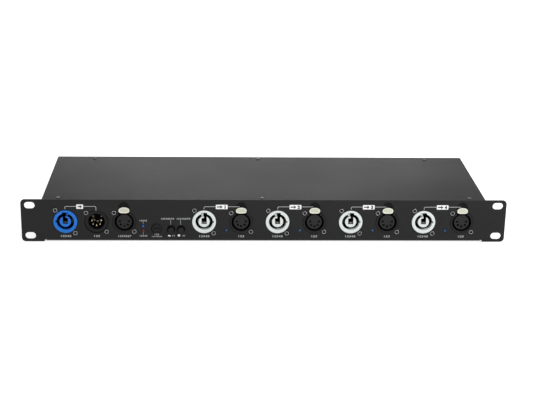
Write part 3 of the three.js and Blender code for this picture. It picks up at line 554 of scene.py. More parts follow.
def metallic(name, colour, rough, brush=(1.0, 1.0, 1.0), scale=700.0):
    """Plated or brushed metal, with fine tool marks and a little tarnish."""
    look, tree, shader, where = new_material(name)
    cloud = noise(tree, where, 160.0, 4.0)
    marks = noise(tree, mapped(tree, where, "Scale", brush), scale, 3.0, 0.6)
    fill(tree, shader, {
        "Base Color": ramp(tree, cloud, tones(colour, 0.12, 0.06)),
        "Metallic": 1.0,
        "Roughness": spread(tree, marks, rough - 0.08, rough + 0.1),
        "Normal": bump(tree, marks, 0.25, 0.00003),
    })
    return look


def lens(name, deep, bright, glow):
    """A tinted lamp lens, brighter at its middle where the chip sits."""
    look, tree, shader, where = new_material(name)
    centre = new_node(tree, "TexGradient", {"Vector": mapped(tree, where, "Scale", (480.0, 60.0, 480.0))})
    centre.gradient_type = "SPHERICAL"
    colour = ramp(tree, centre.outputs["Fac"], [(0.0, linear(deep)), (0.75, linear(bright))])
    fill(tree, shader, {
        "Base Color": colour,
        "Emission Color": colour,
        "Emission Strength": glow,
        "Roughness": spread(tree, noise(tree, where, 600.0), 0.12, 0.22),
        "Specular IOR Level": 0.35,
        "Coat Weight": 0.15,
        "Coat Roughness": 0.1,
    })
    return look


def laminate(name):
    """Circuit board: green mask over a net of lighter tracks."""
    look, tree, shader, where = new_material(name)
    tracks = new_node(tree, "TexBrick", {
        "Scale": 260.0,
        "Mortar Size": 0.06,
        "Color1": (*linear((24, 84, 50)), 1),
        "Color2": (*linear((28, 92, 56)), 1),
        "Mortar": (*linear((46, 120, 76)), 1),
        "Vector": mapped(tree, where, "Rotation", (QUARTER, 0, 0)),
    })
    fill(tree, shader, {
        "Base Color": tracks.outputs["Color"],
        "Roughness": 0.4,
        "Normal": bump(tree, noise(tree, where, 500.0), 0.2, 0.00004),
    })
    return look


DRAWN = (1.0, 0.1, 1.0)  # tool marks drawn out along the depth
PANEL_PAINT = coated("panel_paint", (32, 32, 32), 0.5, 1500.0, 0.00006, specular=0.16)
COVER_PAINT = coated("cover_paint", (38, 38, 38), 0.5, 1300.0, 0.00006, specular=0.19)
BLUE = moulded("blue_plastic", (28, 112, 206), 0.36, specular=0.3)
PALE = moulded("pale_plastic", (222, 229, 226), 0.36, mottle=0.02, specular=0.3)
BLACK = moulded("black_plastic", (27, 27, 28), 0.5, specular=0.16)
# Near-black for the insides of cups, gaps and dimples: painted shade in recesses
RECESS_SHADE = moulded("painted_recess_shade", (8, 8, 9), 0.7, specular=0.1)
# Darker copies of the blue and pale plastics: painted shade deep in the mains connectors' grooves
SHADED_BLUE = moulded("shaded_blue_plastic", (6, 13, 32), 0.6, specular=0.15)
SHADED_PALE = moulded("shaded_pale_plastic", (44, 45, 45), 0.6, specular=0.2)
INSERT = moulded("insert_plastic", (33, 33, 35), 0.5, specular=0.2)
# Near-black for faces deep in a cup: painted shade
CAVITY_SHADE = moulded("painted_cavity_shade", (10, 10, 11), 0.7, specular=0.1)
BUTTON = moulded("button_plastic", (21, 21, 22), 0.42, specular=0.2)
RUBBER = moulded("black_rubber", (31, 31, 32), 0.72, grain=1400.0, specular=0.16)
TAB = moulded("tab_metal", (205, 205, 188), 0.4, specular=0.3)
# A lighter copy of the tab's colour for its raised edge: painted highlight
TAB_RIM_HIGHLIGHT = moulded("tab_rim_highlight", (230, 230, 215), 0.36, mottle=0.02, specular=0.35)
ZINC = metallic("zinc_steel", (172, 173, 176), 0.34)
# A light metal for the rim of the dark connector screws' heads: painted highlight
SCREW_RIM_HIGHLIGHT = metallic("screw_rim_highlight", (184, 184, 184), 0.42)
SCREW_FACE = metallic("screw_black", (44, 44, 46), 0.42)
CASE_SCREW = metallic("case_screw_steel", (140, 140, 142), 0.45)
# Dark metal for the mains contacts deep in their connectors: painted shade
SHADED_CONTACT = metallic("contact_metal", (54, 51, 48), 0.45, DRAWN)
PRONG = metallic("prong_metal", (150, 141, 138), 0.4, DRAWN)
# A darker copy of the prong metal for the blue inlet's blades: painted shade
SHADED_PRONG = metallic("shaded_prong_metal", (108, 96, 90), 0.4, DRAWN)
# Pale collars at the pins' roots: painted highlight deep in the cup
PIN_ROOT_HIGHLIGHT = moulded("pin_root_highlight", (222, 216, 196), 0.45)
GOLD = metallic("gold_plate", (226, 212, 172), 0.3, DRAWN, scale=900.0)
IRON = metallic("core_iron", (92, 92, 96), 0.55)
SHEATH = moulded("lead_sheath", (28, 28, 29), 0.6)
BOARD = laminate("board_laminate")
BLUE_LENS = lens("blue_lens", (2, 34, 82), (13, 95, 166), 0.08)
DIM_LENS = lens("dim_blue_lens", (2, 28, 60), (16, 84, 130), 0.06)
RED_LENS = lens("red_lens", (50, 16, 16), (108, 36, 34), 0.03)
INK = moulded("white_ink", (246, 248, 248), 0.55, mottle=0.02)
LINE_INK = moulded("line_ink", (190, 192, 193), 0.55, mottle=0.03)
# Painted shadow over each latch tab
TAB_SHADOW = moulded("painted_tab_shadow", (21, 21, 21), 0.65, specular=0.08)
CAPTION_INK = moulded("caption_ink", (172, 174, 175), 0.55, mottle=0.03)
DARK_INK = moulded("dark_ink", (26, 27, 29), 0.55, mottle=0.03)


# Camera, fitted to the panel's corners, its slots and connectors, and the case's edges

CAMERA_AT = (-50.627, -1175.913, 458.677)
CAMERA_YAW = -0.0439
CAMERA_PITCH = -0.33864
CAMERA_ROLL = -0.01701
FOCAL_PIXELS = 1260.705
FRAME_PIXELS = 533
SENSOR = 36.0


def make_camera():
    """The camera where the photograph was taken from."""
    data = bpy.data.cameras.new("camera")
    data.sensor_width = SENSOR
    data.lens = FOCAL_PIXELS * SENSOR / FRAME_PIXELS
    data.clip_start = 0.05
    data.clip_end = 50
    camera = linked(data, "camera")
    turn = (Matrix.Rotation(CAMERA_YAW, 3, "Z") @ Matrix.Rotation(CAMERA_PITCH, 3, "X")
            @ Matrix.Rotation(CAMERA_ROLL, 3, "Y"))
    look = turn @ Matrix.Rotation(QUARTER, 3, "X")
    camera.matrix_world = look.to_4x4()
    camera.location = (CAMERA_AT[0] * MM, FACE + CAMERA_AT[1] * MM, CAMERA_AT[2] * MM)
    bpy.context.scene.camera = camera


# Case

def arch(x, z, half, rise, start, end):
    """The upper part of an oval about the middle of a latch tab."""
    return [(x + half * u, z + TAB_MIDDLE + rise * v) for u, v in arc(1, start, end, 32)]


def data_opening(x, z):
    """The panel's opening for a female data connector and the tab above it."""
    radius = DATA_SHELL + HOLE_GAP
    side = math.acos(ARCH_HALF / radius)
    return (arc(radius, side, -math.pi - side, 96, x, z)
            + arch(x, z, ARCH_HALF, ARCH_RISE, math.pi, 0))


def screw_places():
    """Every connector screw's place on the panel, two to a connector."""
    places = []
    for centres, (across, up) in ((POWER.values(), POWER_SCREW), ([DATA_IN, *DATA.values()], DATA_SCREW)):
        for x, z in centres:
            places += [(x - across, z + up), (x + across, z - up)]
    return places


def panel_outlines():
    """The panel's border and all its openings."""
    half = PANEL_WIDTH / 2
    lap = FOLD_TOP - EDGE
    wing = FOLD_HALF + SEAT
    border = rounded([
        (-half, 0, PANEL_CORNER), (-EAR_START, 0, RELIEF_CORNER), (-EAR_START, RELIEF_TOP, RELIEF_CORNER),
        (-wing, RELIEF_TOP, 0), (-wing, lap, 0), (wing, lap, 0), (wing, RELIEF_TOP, 0),
        (EAR_START, RELIEF_TOP, RELIEF_CORNER), (EAR_START, 0, RELIEF_CORNER),
        (half, 0, PANEL_CORNER), (half, PANEL_HEIGHT, PANEL_CORNER), (-half, PANEL_HEIGHT, PANEL_CORNER),
    ], 10)
    holes = [slot_outline(side * SLOT_X, row, SLOT_WIDTH, SLOT_HEIGHT)
             for side in (-1, 1) for row in SLOT_ROWS]
    holes += [circle(POWER_RING + HOLE_GAP, x, z) for x, z in POWER.values()]
    holes += [data_opening(x, z) for x, z in DATA.values()]
    holes.append(circle(DATA_SHELL + MALE_GAP, *DATA_IN))
    holes += [circle(SCREW_SHAFT + HOLE_GAP, x, z, 24) for x, z in screw_places()]
    holes += [circle(LAMP_RADIUS + LAMP_GAP, x, z, 32) for x, z in LAMPS.values()]
    holes += [circle(BUTTON_HOLE, x, z, 64) for x, z in BUTTONS.values()]
    holes.append(circle(PLUG_HOLE, *PLUG, 48))
    return [border] + holes


def foot_outline():
    """The section of the fold along the panel's lower edge and the foot that runs back from it."""
    top = FOLD_TOP + FOLD_LAP
    inside = BEND - SHEET
    return ([(0, top)] + arc(BEND, math.pi, 3 * QUARTER, 10, BEND, FOLD_TOP)
            + [(FOOT, TRAY_RISE), (FOOT, TRAY_RISE + SHEET)]
            + arc(inside, 3 * QUARTER, math.pi, 8, BEND, FOLD_TOP) + [(SHEET, top)])


def tray_outline():
    """The tray's section: its lap on the panel's foot, the floor, the rear wall and its flange."""
    back = CASE_DEPTH
    floor = TRAY_RISE + SHEET
    lap = floor + SEAT
    end = FOOT + SEAT
    drop = lap - TRAY_RISE
    shift = SHEET * (math.hypot(JOGGLE_RUN, drop) - JOGGLE_RUN) / drop
    inside = BEND - SHEET
    return ([(BEND + SEAT, lap), (end, lap), (end + JOGGLE_RUN, TRAY_RISE)]
            + arc(BEND, -QUARTER, 0, 10, back - BEND, FOLD_TOP)
            + arc(BEND, 0, QUARTER, 10, back - BEND, TRAY_TOP - BEND)
            + [(back - REAR_FLANGE, TRAY_TOP), (back - REAR_FLANGE, TRAY_TOP - SHEET)]
            + arc(inside, QUARTER, 0, 8, back - BEND, TRAY_TOP - BEND)
            + arc(inside, 0, -QUARTER, 8, back - BEND, FOLD_TOP)
            + [(end + JOGGLE_RUN + shift, floor), (end + shift, lap + SHEET), (BEND + SEAT, lap + SHEET)])


def peg(x, depth, radius, low, high, across, down, steps=32):
    """A round part that stands on the tray's floor, with a chamfer around its top."""
    mesh = turned([(0, low), (radius, low), (radius, high - down), (radius - across, high), (0, high)],
                  steps)
    mesh.transform(Matrix.Rotation(QUARTER, 4, "X"))
    return moved(mesh, x, depth, 0), ZINC


def tray_fittings():
    """The standoffs under the supply board, and the earth stud with its nut."""
    low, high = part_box("supply_board")
    floor = TRAY_RISE + SHEET / 2
    top = low.z / MM - SEAT
    parts = []
    for x in (low.x / MM + STANDOFF_INSET, high.x / MM - STANDOFF_INSET):
        for depth in ((low.y - FACE) / MM + STANDOFF_INSET, (high.y - FACE) / MM - STANDOFF_INSET):
            parts.append(peg(x, depth, STANDOFF_RADIUS, floor, top, 0.3, 0.3))
    x = EARTH_INSET - CASE_HALF
    parts.append(peg(x, EARTH_DEPTH, EARTH_NUT, floor, EARTH_NUT_TOP, 0.4, 0.3, 6))
    parts.append(peg(x, EARTH_DEPTH, EARTH_STUD, EARTH_NUT_TOP - 0.7, EARTH_STUD_TOP, 0.4, 0.4))
    return parts


def cover_outline():
    """The cover's section: an upturned U with rounded bends."""
    inner = CASE_HALF - COVER_SHEET
    shoulder = COVER_TOP - COVER_BEND
    inside = COVER_BEND - COVER_SHEET
    side = CASE_HALF - COVER_BEND
    return ([(-CASE_HALF, TRAY_RISE), (-inner, TRAY_RISE)]
            + arc(inside, math.pi, QUARTER, 8, -side, shoulder)
            + arc(inside, QUARTER, 0, 8, side, shoulder)
            + [(inner, TRAY_RISE), (CASE_HALF, TRAY_RISE)]
            + arc(COVER_BEND, 0, QUARTER, 12, side, shoulder)
            + arc(COVER_BEND, QUARTER, math.pi, 12, -side, shoulder))


def make_case():
    plate = slab(panel_outlines(), 0, SHEET, EDGE)
    panel = united(plate, swept_x(foot_outline(), -FOLD_HALF, FOLD_HALF))
    piece("panel", [(panel, PANEL_PAINT)], smooth=CREASE, replaces=["front_panel"], slot="panel_paint")
    tray = swept_x(tray_outline(), -TRAY_HALF, TRAY_HALF)
    piece("tray", [(tray, PANEL_PAINT)] + tray_fittings(), smooth=CREASE, replaces=["chassis_tray"],
          slot="panel_paint")
    cover = slab([cover_outline()], COVER_FRONT, CASE_DEPTH, EDGE)
    piece("cover", [(cover, COVER_PAINT)], smooth=CREASE, replaces=["top_cover"], slot="cover_paint")


# Fasteners

def screw_parts(radius, height, shaft, length, rim_look, face_look):
    """A round head with a cross recess, facing the viewer, with its seat at depth 0."""
    rim = radius * 0.8
    arm = radius * 0.5
    half = radius * 0.15
    end = 0.1
    root = 0.12
    cross = rounded([
        (arm, -half, end), (arm, half, end), (half, half, root), (half, arm, end), (-half, arm, end),
        (-half, half, root), (-arm, half, end), (-arm, -half, end), (-half, -half, root),
        (-half, -arm, end), (half, -arm, end), (half, -half, root),
    ], 3)
    bevel = height * 0.2
    floor = -height * 0.25
    ring = slab([circle(radius, steps=48), circle(rim, steps=48)], -height, floor, bevel, 5)
    crown = slab([circle(rim + 0.05, steps=48), cross], bevel - height, floor, 0.05, 2)
    stem = turned([(0, floor), (radius, floor), (radius, 0), (shaft, 0), (shaft, length), (0, length)], 48)
    return [(ring, rim_look), (crown, face_look), (stem, face_look)]


def make_screws():
    # The connector screws' light rim on a dark head is a painted highlight
    parts = screw_parts(SCREW_HEAD, SCREW_HEAD_HEIGHT, SCREW_SHAFT, SCREW_LENGTH, SCREW_RIM_HIGHLIGHT, SCREW_FACE)
    screw = joined("connector_screw", parts)
    for i, (x, z) in enumerate(screw_places()):
        placed(f"connector_screw_{i + 1}", screw, x, z, slot="zinc_steel")
    parts = screw_parts(CASE_HEAD, CASE_HEAD_HEIGHT, CASE_SHAFT, CASE_LENGTH, CASE_SCREW, CASE_SCREW)
    screw = joined("case_screw", [(facing_up(mesh), look) for mesh, look in parts])
    for row in ("front", "rear"):
        for i in range(1, 4):
            node = f"cover_screw_{row}_{i}"
            low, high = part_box(node)
            depth = ((low.y + high.y) / 2 - FACE) / MM
            placed(f"case_screw_{row}_{i}", screw, middle(node)[0], COVER_TOP + CASE_HEAD_GAP, depth,
                   replaces=[node], slot="zinc_steel")


# Connectors

def flange(half, hole, bevel):
    """The plate behind the panel that a connector's screws hold."""
    border = box_outline(-half, half, -FLANGE_RISE, FLANGE_RISE, FLANGE_CORNER)
    return slab([border, circle(hole)], BEHIND, BEHIND + FLANGE_SHEET, bevel)


def core_outline(hand):
    """The round core of a mains connector, with the cavity that is open to one side of its top."""
    right = hand * CAVITY_HALF
    left = right - hand * CAVITY_SLOT
    turn_in = math.acos(right / POWER_CORE)
    turn_out = math.acos(left / POWER_CORE) - hand * TURN
    outside = [(x, z, 0) for x, z in arc(POWER_CORE, turn_in, turn_out, 80)]
    cavity = [(left, CAVITY_TOP, 0.3), (-right, CAVITY_TOP, 0.5), (-right, CAVITY_LOW, 0.3),
              (right, CAVITY_LOW, 0.3)]
    return rounded(outside + cavity, 4)


def power_parts(hand, look, inner, shade_depth, blade):
    """A mains connector about its axis. Its keys face one way where hand is 1, the other at -1. Deep in
    the groove the walls, the core and the barrel take a darker copy of the plastic, painted shade.
    """
    keys = [(QUARTER, POWER_KEY_WIDTH / 2, POWER_KEY_REACH),
            (0 if hand > 0 else math.pi, POWER_SMALL_KEY / 2, POWER_KEY_REACH)]
    wall = [circle(POWER_RING), notched_circle(POWER_GROOVE, keys)]
    ring = slab(wall, -POWER_PROUD, shade_depth, 0.3, 4)
    shaded_wall = slab(wall, shade_depth - SHADE_LAP, POWER_KEY_DEPTH, SHADE_EDGE)
    rib_ends = sorted((-hand * RIB_OUTER, -hand * RIB_INNER))
    rib = slab([box_outline(*rib_ends, POWER_CORE - 0.6, POWER_GROOVE - 0.2, 0.2)],
               RIB_FRONT, POWER_KEY_DEPTH, 0.15)
    barrel = turned([(POWER_GROOVE, POWER_KEY_DEPTH), (POWER_RING, POWER_KEY_DEPTH),
                     (POWER_RING, POWER_END), (0, POWER_END), (0, POWER_GROOVE_END),
                     (POWER_GROOVE, POWER_GROOVE_END)])
    core = core_outline(hand)
    tip = slab([core], POWER_CORE_FRONT, CORE_SHADE_DEPTH, 0.25, 4)
    post = slab([core], CORE_SHADE_DEPTH - SHADE_LAP, POWER_GROOVE_END + 0.4, SHADE_EDGE)
    back = flange(POWER_FLANGE_HALF, POWER_RING - 0.3, 0.2)
    parts = [(ring, look), (shaded_wall, inner), (rib, look), (barrel, inner), (tip, look), (post, inner),
             (back, look)]
    for x in (-PRONG_STEP, 0, PRONG_STEP):
        outline = box_outline(x - PRONG_HALF, x + PRONG_HALF, PRONG_LOW, PRONG_TOP, 0.15)
        parts.append((slab([outline], PRONG_FRONT, PRONG_BACK, 0.1), blade))
    return parts


def make_power():
    # The blue inlet's groove and core are painted shade in dark blue, the pale outlets' in grey
    inlet = power_parts(-1, BLUE, SHADED_BLUE, INLET_SHADE_DEPTH, SHADED_PRONG)
    piece("inlet_body", inlet, *POWER["power_inlet"], replaces=["power_inlet"], slot="blue_plastic")
    outlet = joined("outlet_body", power_parts(1, PALE, SHADED_PALE, OUTLET_SHADE_DEPTH, PRONG))
    for i in PAIRS:
        node = f"power_outlet_{i}"
        placed(f"outlet_body_{i}", outlet, *POWER[node], replaces=[node], slot="pale_plastic")


def contact_places():
    """The five contacts' places about a data connector's axis."""
    angles = [-QUARTER + k * CONTACT_STEP for k in range(-2, 3)]
    return [(CONTACT_CIRCLE * math.cos(angle), CONTACT_CIRCLE * math.sin(angle)) for angle in angles]


def data_cup(bore):
    """The cup behind the panel that both kinds of data connector share."""
    return turned([(bore, DATA_RIM_BACK), (DATA_SHELL, DATA_RIM_BACK), (DATA_SHELL, DATA_END),
                   (DATA_LIP, DATA_END), (DATA_LIP, DATA_GROOVE_END), (bore, DATA_GROOVE_END)])


def female_rim():
    """The rim that shows in the panel, open at the top where the tab sits."""
    half = TAB_HALF + 0.3
    low = TAB_LOW - 1.1
    outer = math.acos(half / DATA_SHELL)
    inner = math.asin(low / DATA_GROOVE)
    rim = [(x, z, 0) for x, z in arc(DATA_SHELL, outer, -math.pi - outer, 90)]
    rim.append((-half, low, 0.3))
    rim += [(x, z, 0) for x, z in arc(DATA_GROOVE, math.pi - inner, TURN + inner, 90)]
    rim.append((half, low, 0.3))
    return rounded(rim, 4)


def female_insert():
    """The insert with its five holes, and a contact sleeve in each hole."""
    holes = [circle(CONTACT_HOLE, x, z, 32) for x, z in contact_places()]
    face = slab([circle(DATA_INSERT)] + holes, DATA_INSERT_FRONT, DATA_INSERT_FACE, 0.22, 4)
    back = turned([(0, DATA_INSERT_FACE), (DATA_INSERT, DATA_INSERT_FACE),
                   (DATA_INSERT, DATA_INSERT_SHOULDER), (DATA_INSERT_NECK, DATA_INSERT_SHOULDER),
                   (DATA_INSERT_NECK, DATA_INSERT_TAIL), (0, DATA_INSERT_TAIL)])
    parts = [(face, INSERT), (back, INSERT)]
    for x, z in contact_places():
        sleeve = tube(SLEEVE_BORE, SLEEVE_RADIUS, SLEEVE_FRONT, SLEEVE_BACK, 24)
        parts.append((moved(sleeve, x, 0, z), GOLD))
    return parts


def tab_outline(inset):
    """The tab's outline: the upper half of an ellipse over a squarer lower half."""
    half = TAB_HALF - inset
    rise = (TAB_TOP - TAB_LOW) / 2 - inset
    outline = []
    for x, z in circle(1, steps=80):
        bend = 1.0 if z > 0 else TAB_SQUARE
        outline.append((math.copysign(abs(x) ** bend, x) * half,
                        math.copysign(abs(z) ** bend, z) * rise + TAB_MIDDLE))
    return outline


def latch_parts():
    """The push tab with its raised edge, coloured lighter than the tab as a painted highlight, the arm
    with its hook, and the pin that the arm turns on.
    """
    plate = slab([tab_outline(0), tab_outline(TAB_RIM)], TAB_FRONT, TAB_FRONT + TAB_RIM_RISE, 0.3, 5)
    under = slab([tab_outline(0.05)], TAB_FRONT + 0.25, TAB_BACK, 0.1, 3)
    arm = rounded([
        (TAB_BACK - 0.5, ARM_LOW, 0), (HOOK_FRONT, ARM_LOW, 0.3), (HOOK_FRONT, HOOK_LOW + 1.5, 0.2),
        (HOOK_BACK, HOOK_LOW, 0.2), (HOOK_BACK, ARM_TOP, 0.4), (TAB_BACK - 0.5, ARM_TOP, 0),
    ], 4)
    bar = swept_x(arm, -ARM_HALF, ARM_HALF, 0.15)
    pivot = tube(0, PIVOT_RADIUS, -PIVOT_HALF, PIVOT_HALF, 32)
    pivot.transform(Matrix.Rotation(QUARTER, 4, "Z"))
    return [(plate, TAB_RIM_HIGHLIGHT), (under, TAB), (bar, TAB), (moved(pivot, 0, PIVOT_DEPTH, PIVOT_HEIGHT), TAB)]


def female_shell():
    """The rim, the cup and the flange, and the housing behind the panel that the latch sits in. The cup
    and the housing's back are near-black, painted shade.
    """
    rim = slab([female_rim()], -DATA_PROUD, DATA_RIM_BACK, 0.18, 4)
    inside = HOUSING_HALF - HOUSING_WALL
    outer = box_outline(-HOUSING_HALF, HOUSING_HALF, HOUSING_LOW, HOUSING_TOP, 0.5)
    inner = box_outline(-inside, inside, HOUSING_LOW + 0.2, HOUSING_TOP - HOUSING_WALL, 0.4)
    walls = slab([outer, inner], BEHIND, HOUSING_BACK, 0.1)
    lid = box_outline(-HOUSING_HALF, HOUSING_HALF, DATA_SHELL + 0.1, HOUSING_TOP, 0.5)
    back = slab([lid], HOUSING_BACK, HOUSING_END, 0.1)
    return [(rim, BLACK), (data_cup(DATA_GROOVE), RECESS_SHADE),
            (flange(DATA_FLANGE_HALF, DATA_SHELL - 0.2, 0.1), BLACK), (walls, BLACK), (back, CAVITY_SHADE)]


def pin_parts():
    """The male connector's five pins, each with a pale collar at its root that is a painted highlight."""
    foot = MALE_INSERT_FRONT - 0.2
    shoulder = PIN_FRONT + PIN_TIP
    tip = [(PIN_RADIUS * math.cos(angle), shoulder - PIN_TIP * math.sin(angle))
           for angle in (0.3, 0.6, 0.9, 1.2)]
    profile = [(0, foot), (PIN_RADIUS, foot), (PIN_RADIUS, shoulder)] + tip + [(0, PIN_FRONT)]
    parts = []
    for x, z in contact_places():
        parts.append((moved(turned(profile, 32), x, 0, z), GOLD))
        collar = tube(PIN_RADIUS, PIN_COLLAR, PIN_COLLAR_FRONT, PIN_COLLAR_FRONT + PIN_COLLAR_LENGTH, 32)
        parts.append((moved(collar, x, 0, z), PIN_ROOT_HIGHLIGHT))
    return parts


def make_data():
    shell = joined("data_cup", female_shell())
    insert = joined("data_face", female_insert())
    latch = joined("data_tab", latch_parts())
    for name, (x, z) in DATA.items():
        placed(f"{name}_cup", shell, x, z, replaces=[f"{name}_shell"], slot="black_plastic")
        placed(f"{name}_face", insert, x, z, replaces=[f"{name}_insert"], slot="insert_plastic")
        placed(f"{name}_tab", latch, x, z, body=f"{name}_latch", replaces=[f"{name}_latch"],
               slot="tab_metal")


def make_data_in():
    # The cup's inside and the insert's face deep in it are near-black, painted shade
    rim = slab([circle(DATA_SHELL), circle(DATA_CUP)], MALE_RIM, DATA_RIM_BACK, 0.25, 4)
    back = flange(DATA_FLANGE_HALF, DATA_SHELL - 0.2, 0.1)
    face = tube(0, DATA_CUP - 0.2, MALE_INSERT_FRONT, DATA_INSERT_SHOULDER)
    piece("data_in_cup", [(rim, BLACK), (data_cup(DATA_CUP), RECESS_SHADE), (back, BLACK)], *DATA_IN,
          replaces=["data_in_shell"], slot="black_plastic")
    piece("data_in_face", [(face, CAVITY_SHADE)], *DATA_IN, replaces=["data_in_insert"], slot="insert_plastic")
    piece("data_in_contacts", pin_parts(), *DATA_IN, replaces=["data_in_pins"], slot="gold_plate")


# Lamps, service plug and buttons

def make_lamps():
    dome = [(LAMP_RADIUS * u, -LAMP_PROUD * v) for u, v in arc(1, 0, QUARTER, 10)]
    profile = dome + [(0, LAMP_END), (LAMP_RADIUS, LAMP_END)]
    for name, (x, z) in LAMPS.items():
        look = {"power_lamp": RED_LENS, "signal_lamp": BLUE_LENS}.get(name, DIM_LENS)
        slot = "red_lens" if name == "power_lamp" else "blue_lens"
        body = turned(profile, 48)
        collar = tube(LAMP_RADIUS, LAMP_COLLAR, BEHIND, COLLAR_BACK, 48)
        piece(f"{name}_lens", [(body, look), (collar, look)], x, z, replaces=[name], slot=slot)


def make_plug():
    """A ribless rubber plug with two dimples whose floors are near-black painted shade, and a near-black
    ring under its rim, wider to the lower left: a painted shadow of the plug.
    """
    dimples = [circle(DIMPLE_RADIUS, side * DIMPLE_X, DIMPLE_Z, 24) for side in (-1, 1)]
    rim = slab([circle(PLUG_RADIUS)] + dimples, -PLUG_PROUD, PLUG_RIM_BACK, 0.25, 4)
    floor = slab([circle(DIMPLE_FLOOR)], PLUG_RIM_BACK - 0.04, -0.2, 0.02)
    # Painted shadow: a near-black ring whose outer edge is set off to the lower left
    shadow_ring = slab([circle(SHADOW_RING_OUTER, -0.22, -0.3), circle(SHADOW_RING_INNER)], -0.2, -0.02, 0.05)
    lip = PLUG_RADIUS - 0.1
    under = turned([(0, PLUG_RIM_BACK), (lip, PLUG_RIM_BACK), (lip, -0.1), (PLUG_SHANK, -0.1),
                    (PLUG_SHANK, PLUG_END), (0, PLUG_END)], 64)
    parts = [(rim, RUBBER), (floor, RECESS_SHADE), (shadow_ring, RECESS_SHADE), (under, RUBBER)]
    piece("service_cap", parts, *PLUG, body="service_plug", replaces=["service_plug"], slot="black_rubber")


def make_buttons():
    """Dished caps, each with a collar that the panel holds back and a plunger to its switch. The collar is
    near-black, painted shade in the gap round the cap.
    """
    radius = BUTTON_RADIUS
    skirt = radius + 0.1
    dish = [(0, -2.75), (1.2, -2.82), (2.1, -3.0), (2.45, -2.98), (2.8, -2.8), (radius, -2.4)]
    cap = turned(dish + [(radius, BEHIND), (0, BEHIND)], 72)
    collar = turned([(radius, BEHIND), (BUTTON_COLLAR, BEHIND), (BUTTON_COLLAR, COLLAR_BACK),
                     (skirt, COLLAR_BACK), (skirt, PLUNGER_FRONT), (radius, PLUNGER_FRONT)], 72)
    half = PLUNGER_HALF
    plunger = slab([box_outline(-half, half, -half, half, 0.2)], PLUNGER_FRONT, PLUNGER_BACK, 0.1)
    button = joined("button_cap", [(cap, BUTTON), (collar, RECESS_SHADE), (plunger, BUTTON)])
    for name, (x, z) in BUTTONS.items():
        placed(f"{name}_cap", button, x, z, body=name, replaces=[name], slot="button_plastic")


# Printing on the panel, a film of ink that stands just off the paint

INK_FRONT = -0.04
INK_BACK = -0.005
LINE = 0.45
THIN_LINE = 0.35
BRACKET_HEIGHT = 36.95
BRACKET_BEND = 1.2
MAINS_LEG = 34.2
DATA_LEG = 32.6
PLATE_LOW = 34.4
PLATE_HIGH = 39.0
PLATE_MIDDLE = (PLATE_LOW + PLATE_HIGH) / 2
PLATE_HALF = 5.85
PLATE_CORNER = 0.5
INPUT_PLATE = (11.3, 18.0)  # ends of the input's plate, from the inlet's axis
CAPTION_HEIGHT = 5.7
ICON_LOW = 5.5
PLATE_SHIFT = -0.9  # of an output's plate, from the middle between its connectors
LINE_END = 1.8  # how far short of the data connector's axis an output's line ends
FIGURE_HEIGHT = 3.2
FIGURE_SHIFT = 3.3
ARROW_SHIFT = -4.8
FIGURE_WEIGHT = 0.09
CAPTION_WEIGHT = 0.045
SHADE_RISE = 8.8
SHADE_START = 0.28  # angle at which the shade leaves the tab's opening
TYPE_SIZE = 1.38  # the font's size over the height of its figures
TYPE_SPACING = 1.12


def ink(outlines, layer=0):
    """A film of ink. A higher layer lies on top of the lower ones."""
    return moved(slab(outlines, INK_FRONT, INK_BACK, 0.0), 0, layer * INK_FRONT, 0)


def stroke(x0, z0, x1, z1, width=LINE):
    """A straight printed line with round ends."""
    length = math.hypot(x1 - x0, z1 - z0)
    angle = math.atan2(z1 - z0, x1 - x0)
    flat = slot_outline(0, 0, length + width, width, 8)
    centre = Vector(((x0 + x1) / 2, (z0 + z1) / 2))
    turn = Matrix.Rotation(angle, 2)
    return [tuple(turn @ Vector(point) + centre) for point in flat]


def figures(text, height, x, z, weight, width=None, layer=0):
    """Plain figures, centred on a place, and drawn out to a width where one is given."""
    words = bpy.data.curves.new("figures", "FONT")
    words.body = text
    words.size = height * TYPE_SIZE
    words.offset = weight * height
    words.align_x = "CENTER"
    words.space_character = TYPE_SPACING
    words.extrude = (INK_BACK - INK_FRONT) / 2
    words.resolution_u = 6
    carrier = linked(words)
    natural = drawn(carrier).dimensions.x
    mesh = bpy.data.meshes.new_from_object(drawn(carrier))
    mesh.transform(Matrix.Diagonal(((width or natural) / natural, 1, 1, 1)))
    bpy.data.objects.remove(carrier)
    bpy.data.curves.remove(words)
    mesh.transform(Matrix.Rotation(QUARTER, 4, "X"))
    return moved(mesh, x, (INK_FRONT + INK_BACK) / 2 + layer * INK_FRONT, z - height / 2)


def elbow(x, low, end):
    """A printed line that rises from a connector and turns towards its plate."""
    side = 1 if end > x else -1
    half = LINE / 2
    centre = (x + side * BRACKET_BEND, BRACKET_HEIGHT - BRACKET_BEND)
    start = math.pi if side > 0 else 0
    outer = arc(BRACKET_BEND + half, start, QUARTER, 8, *centre)
    inner = arc(BRACKET_BEND - half, QUARTER, start, 8, *centre)
    return ([(x - side * half, low)] + outer
            + [(end, BRACKET_HEIGHT + half), (end, BRACKET_HEIGHT - half)]
            + inner + [(x + side * half, low)])


def bracket(x, left, right, line):
    """The line that rises from a mains connector to its plate, the plate, and the line that goes on."""
    plate = box_outline(left, right, PLATE_LOW, PLATE_HIGH, PLATE_CORNER)
    return [(ink([elbow(x, MAINS_LEG, left)]), LINE_INK), (ink([line]), LINE_INK), (ink([plate], 1), INK)]


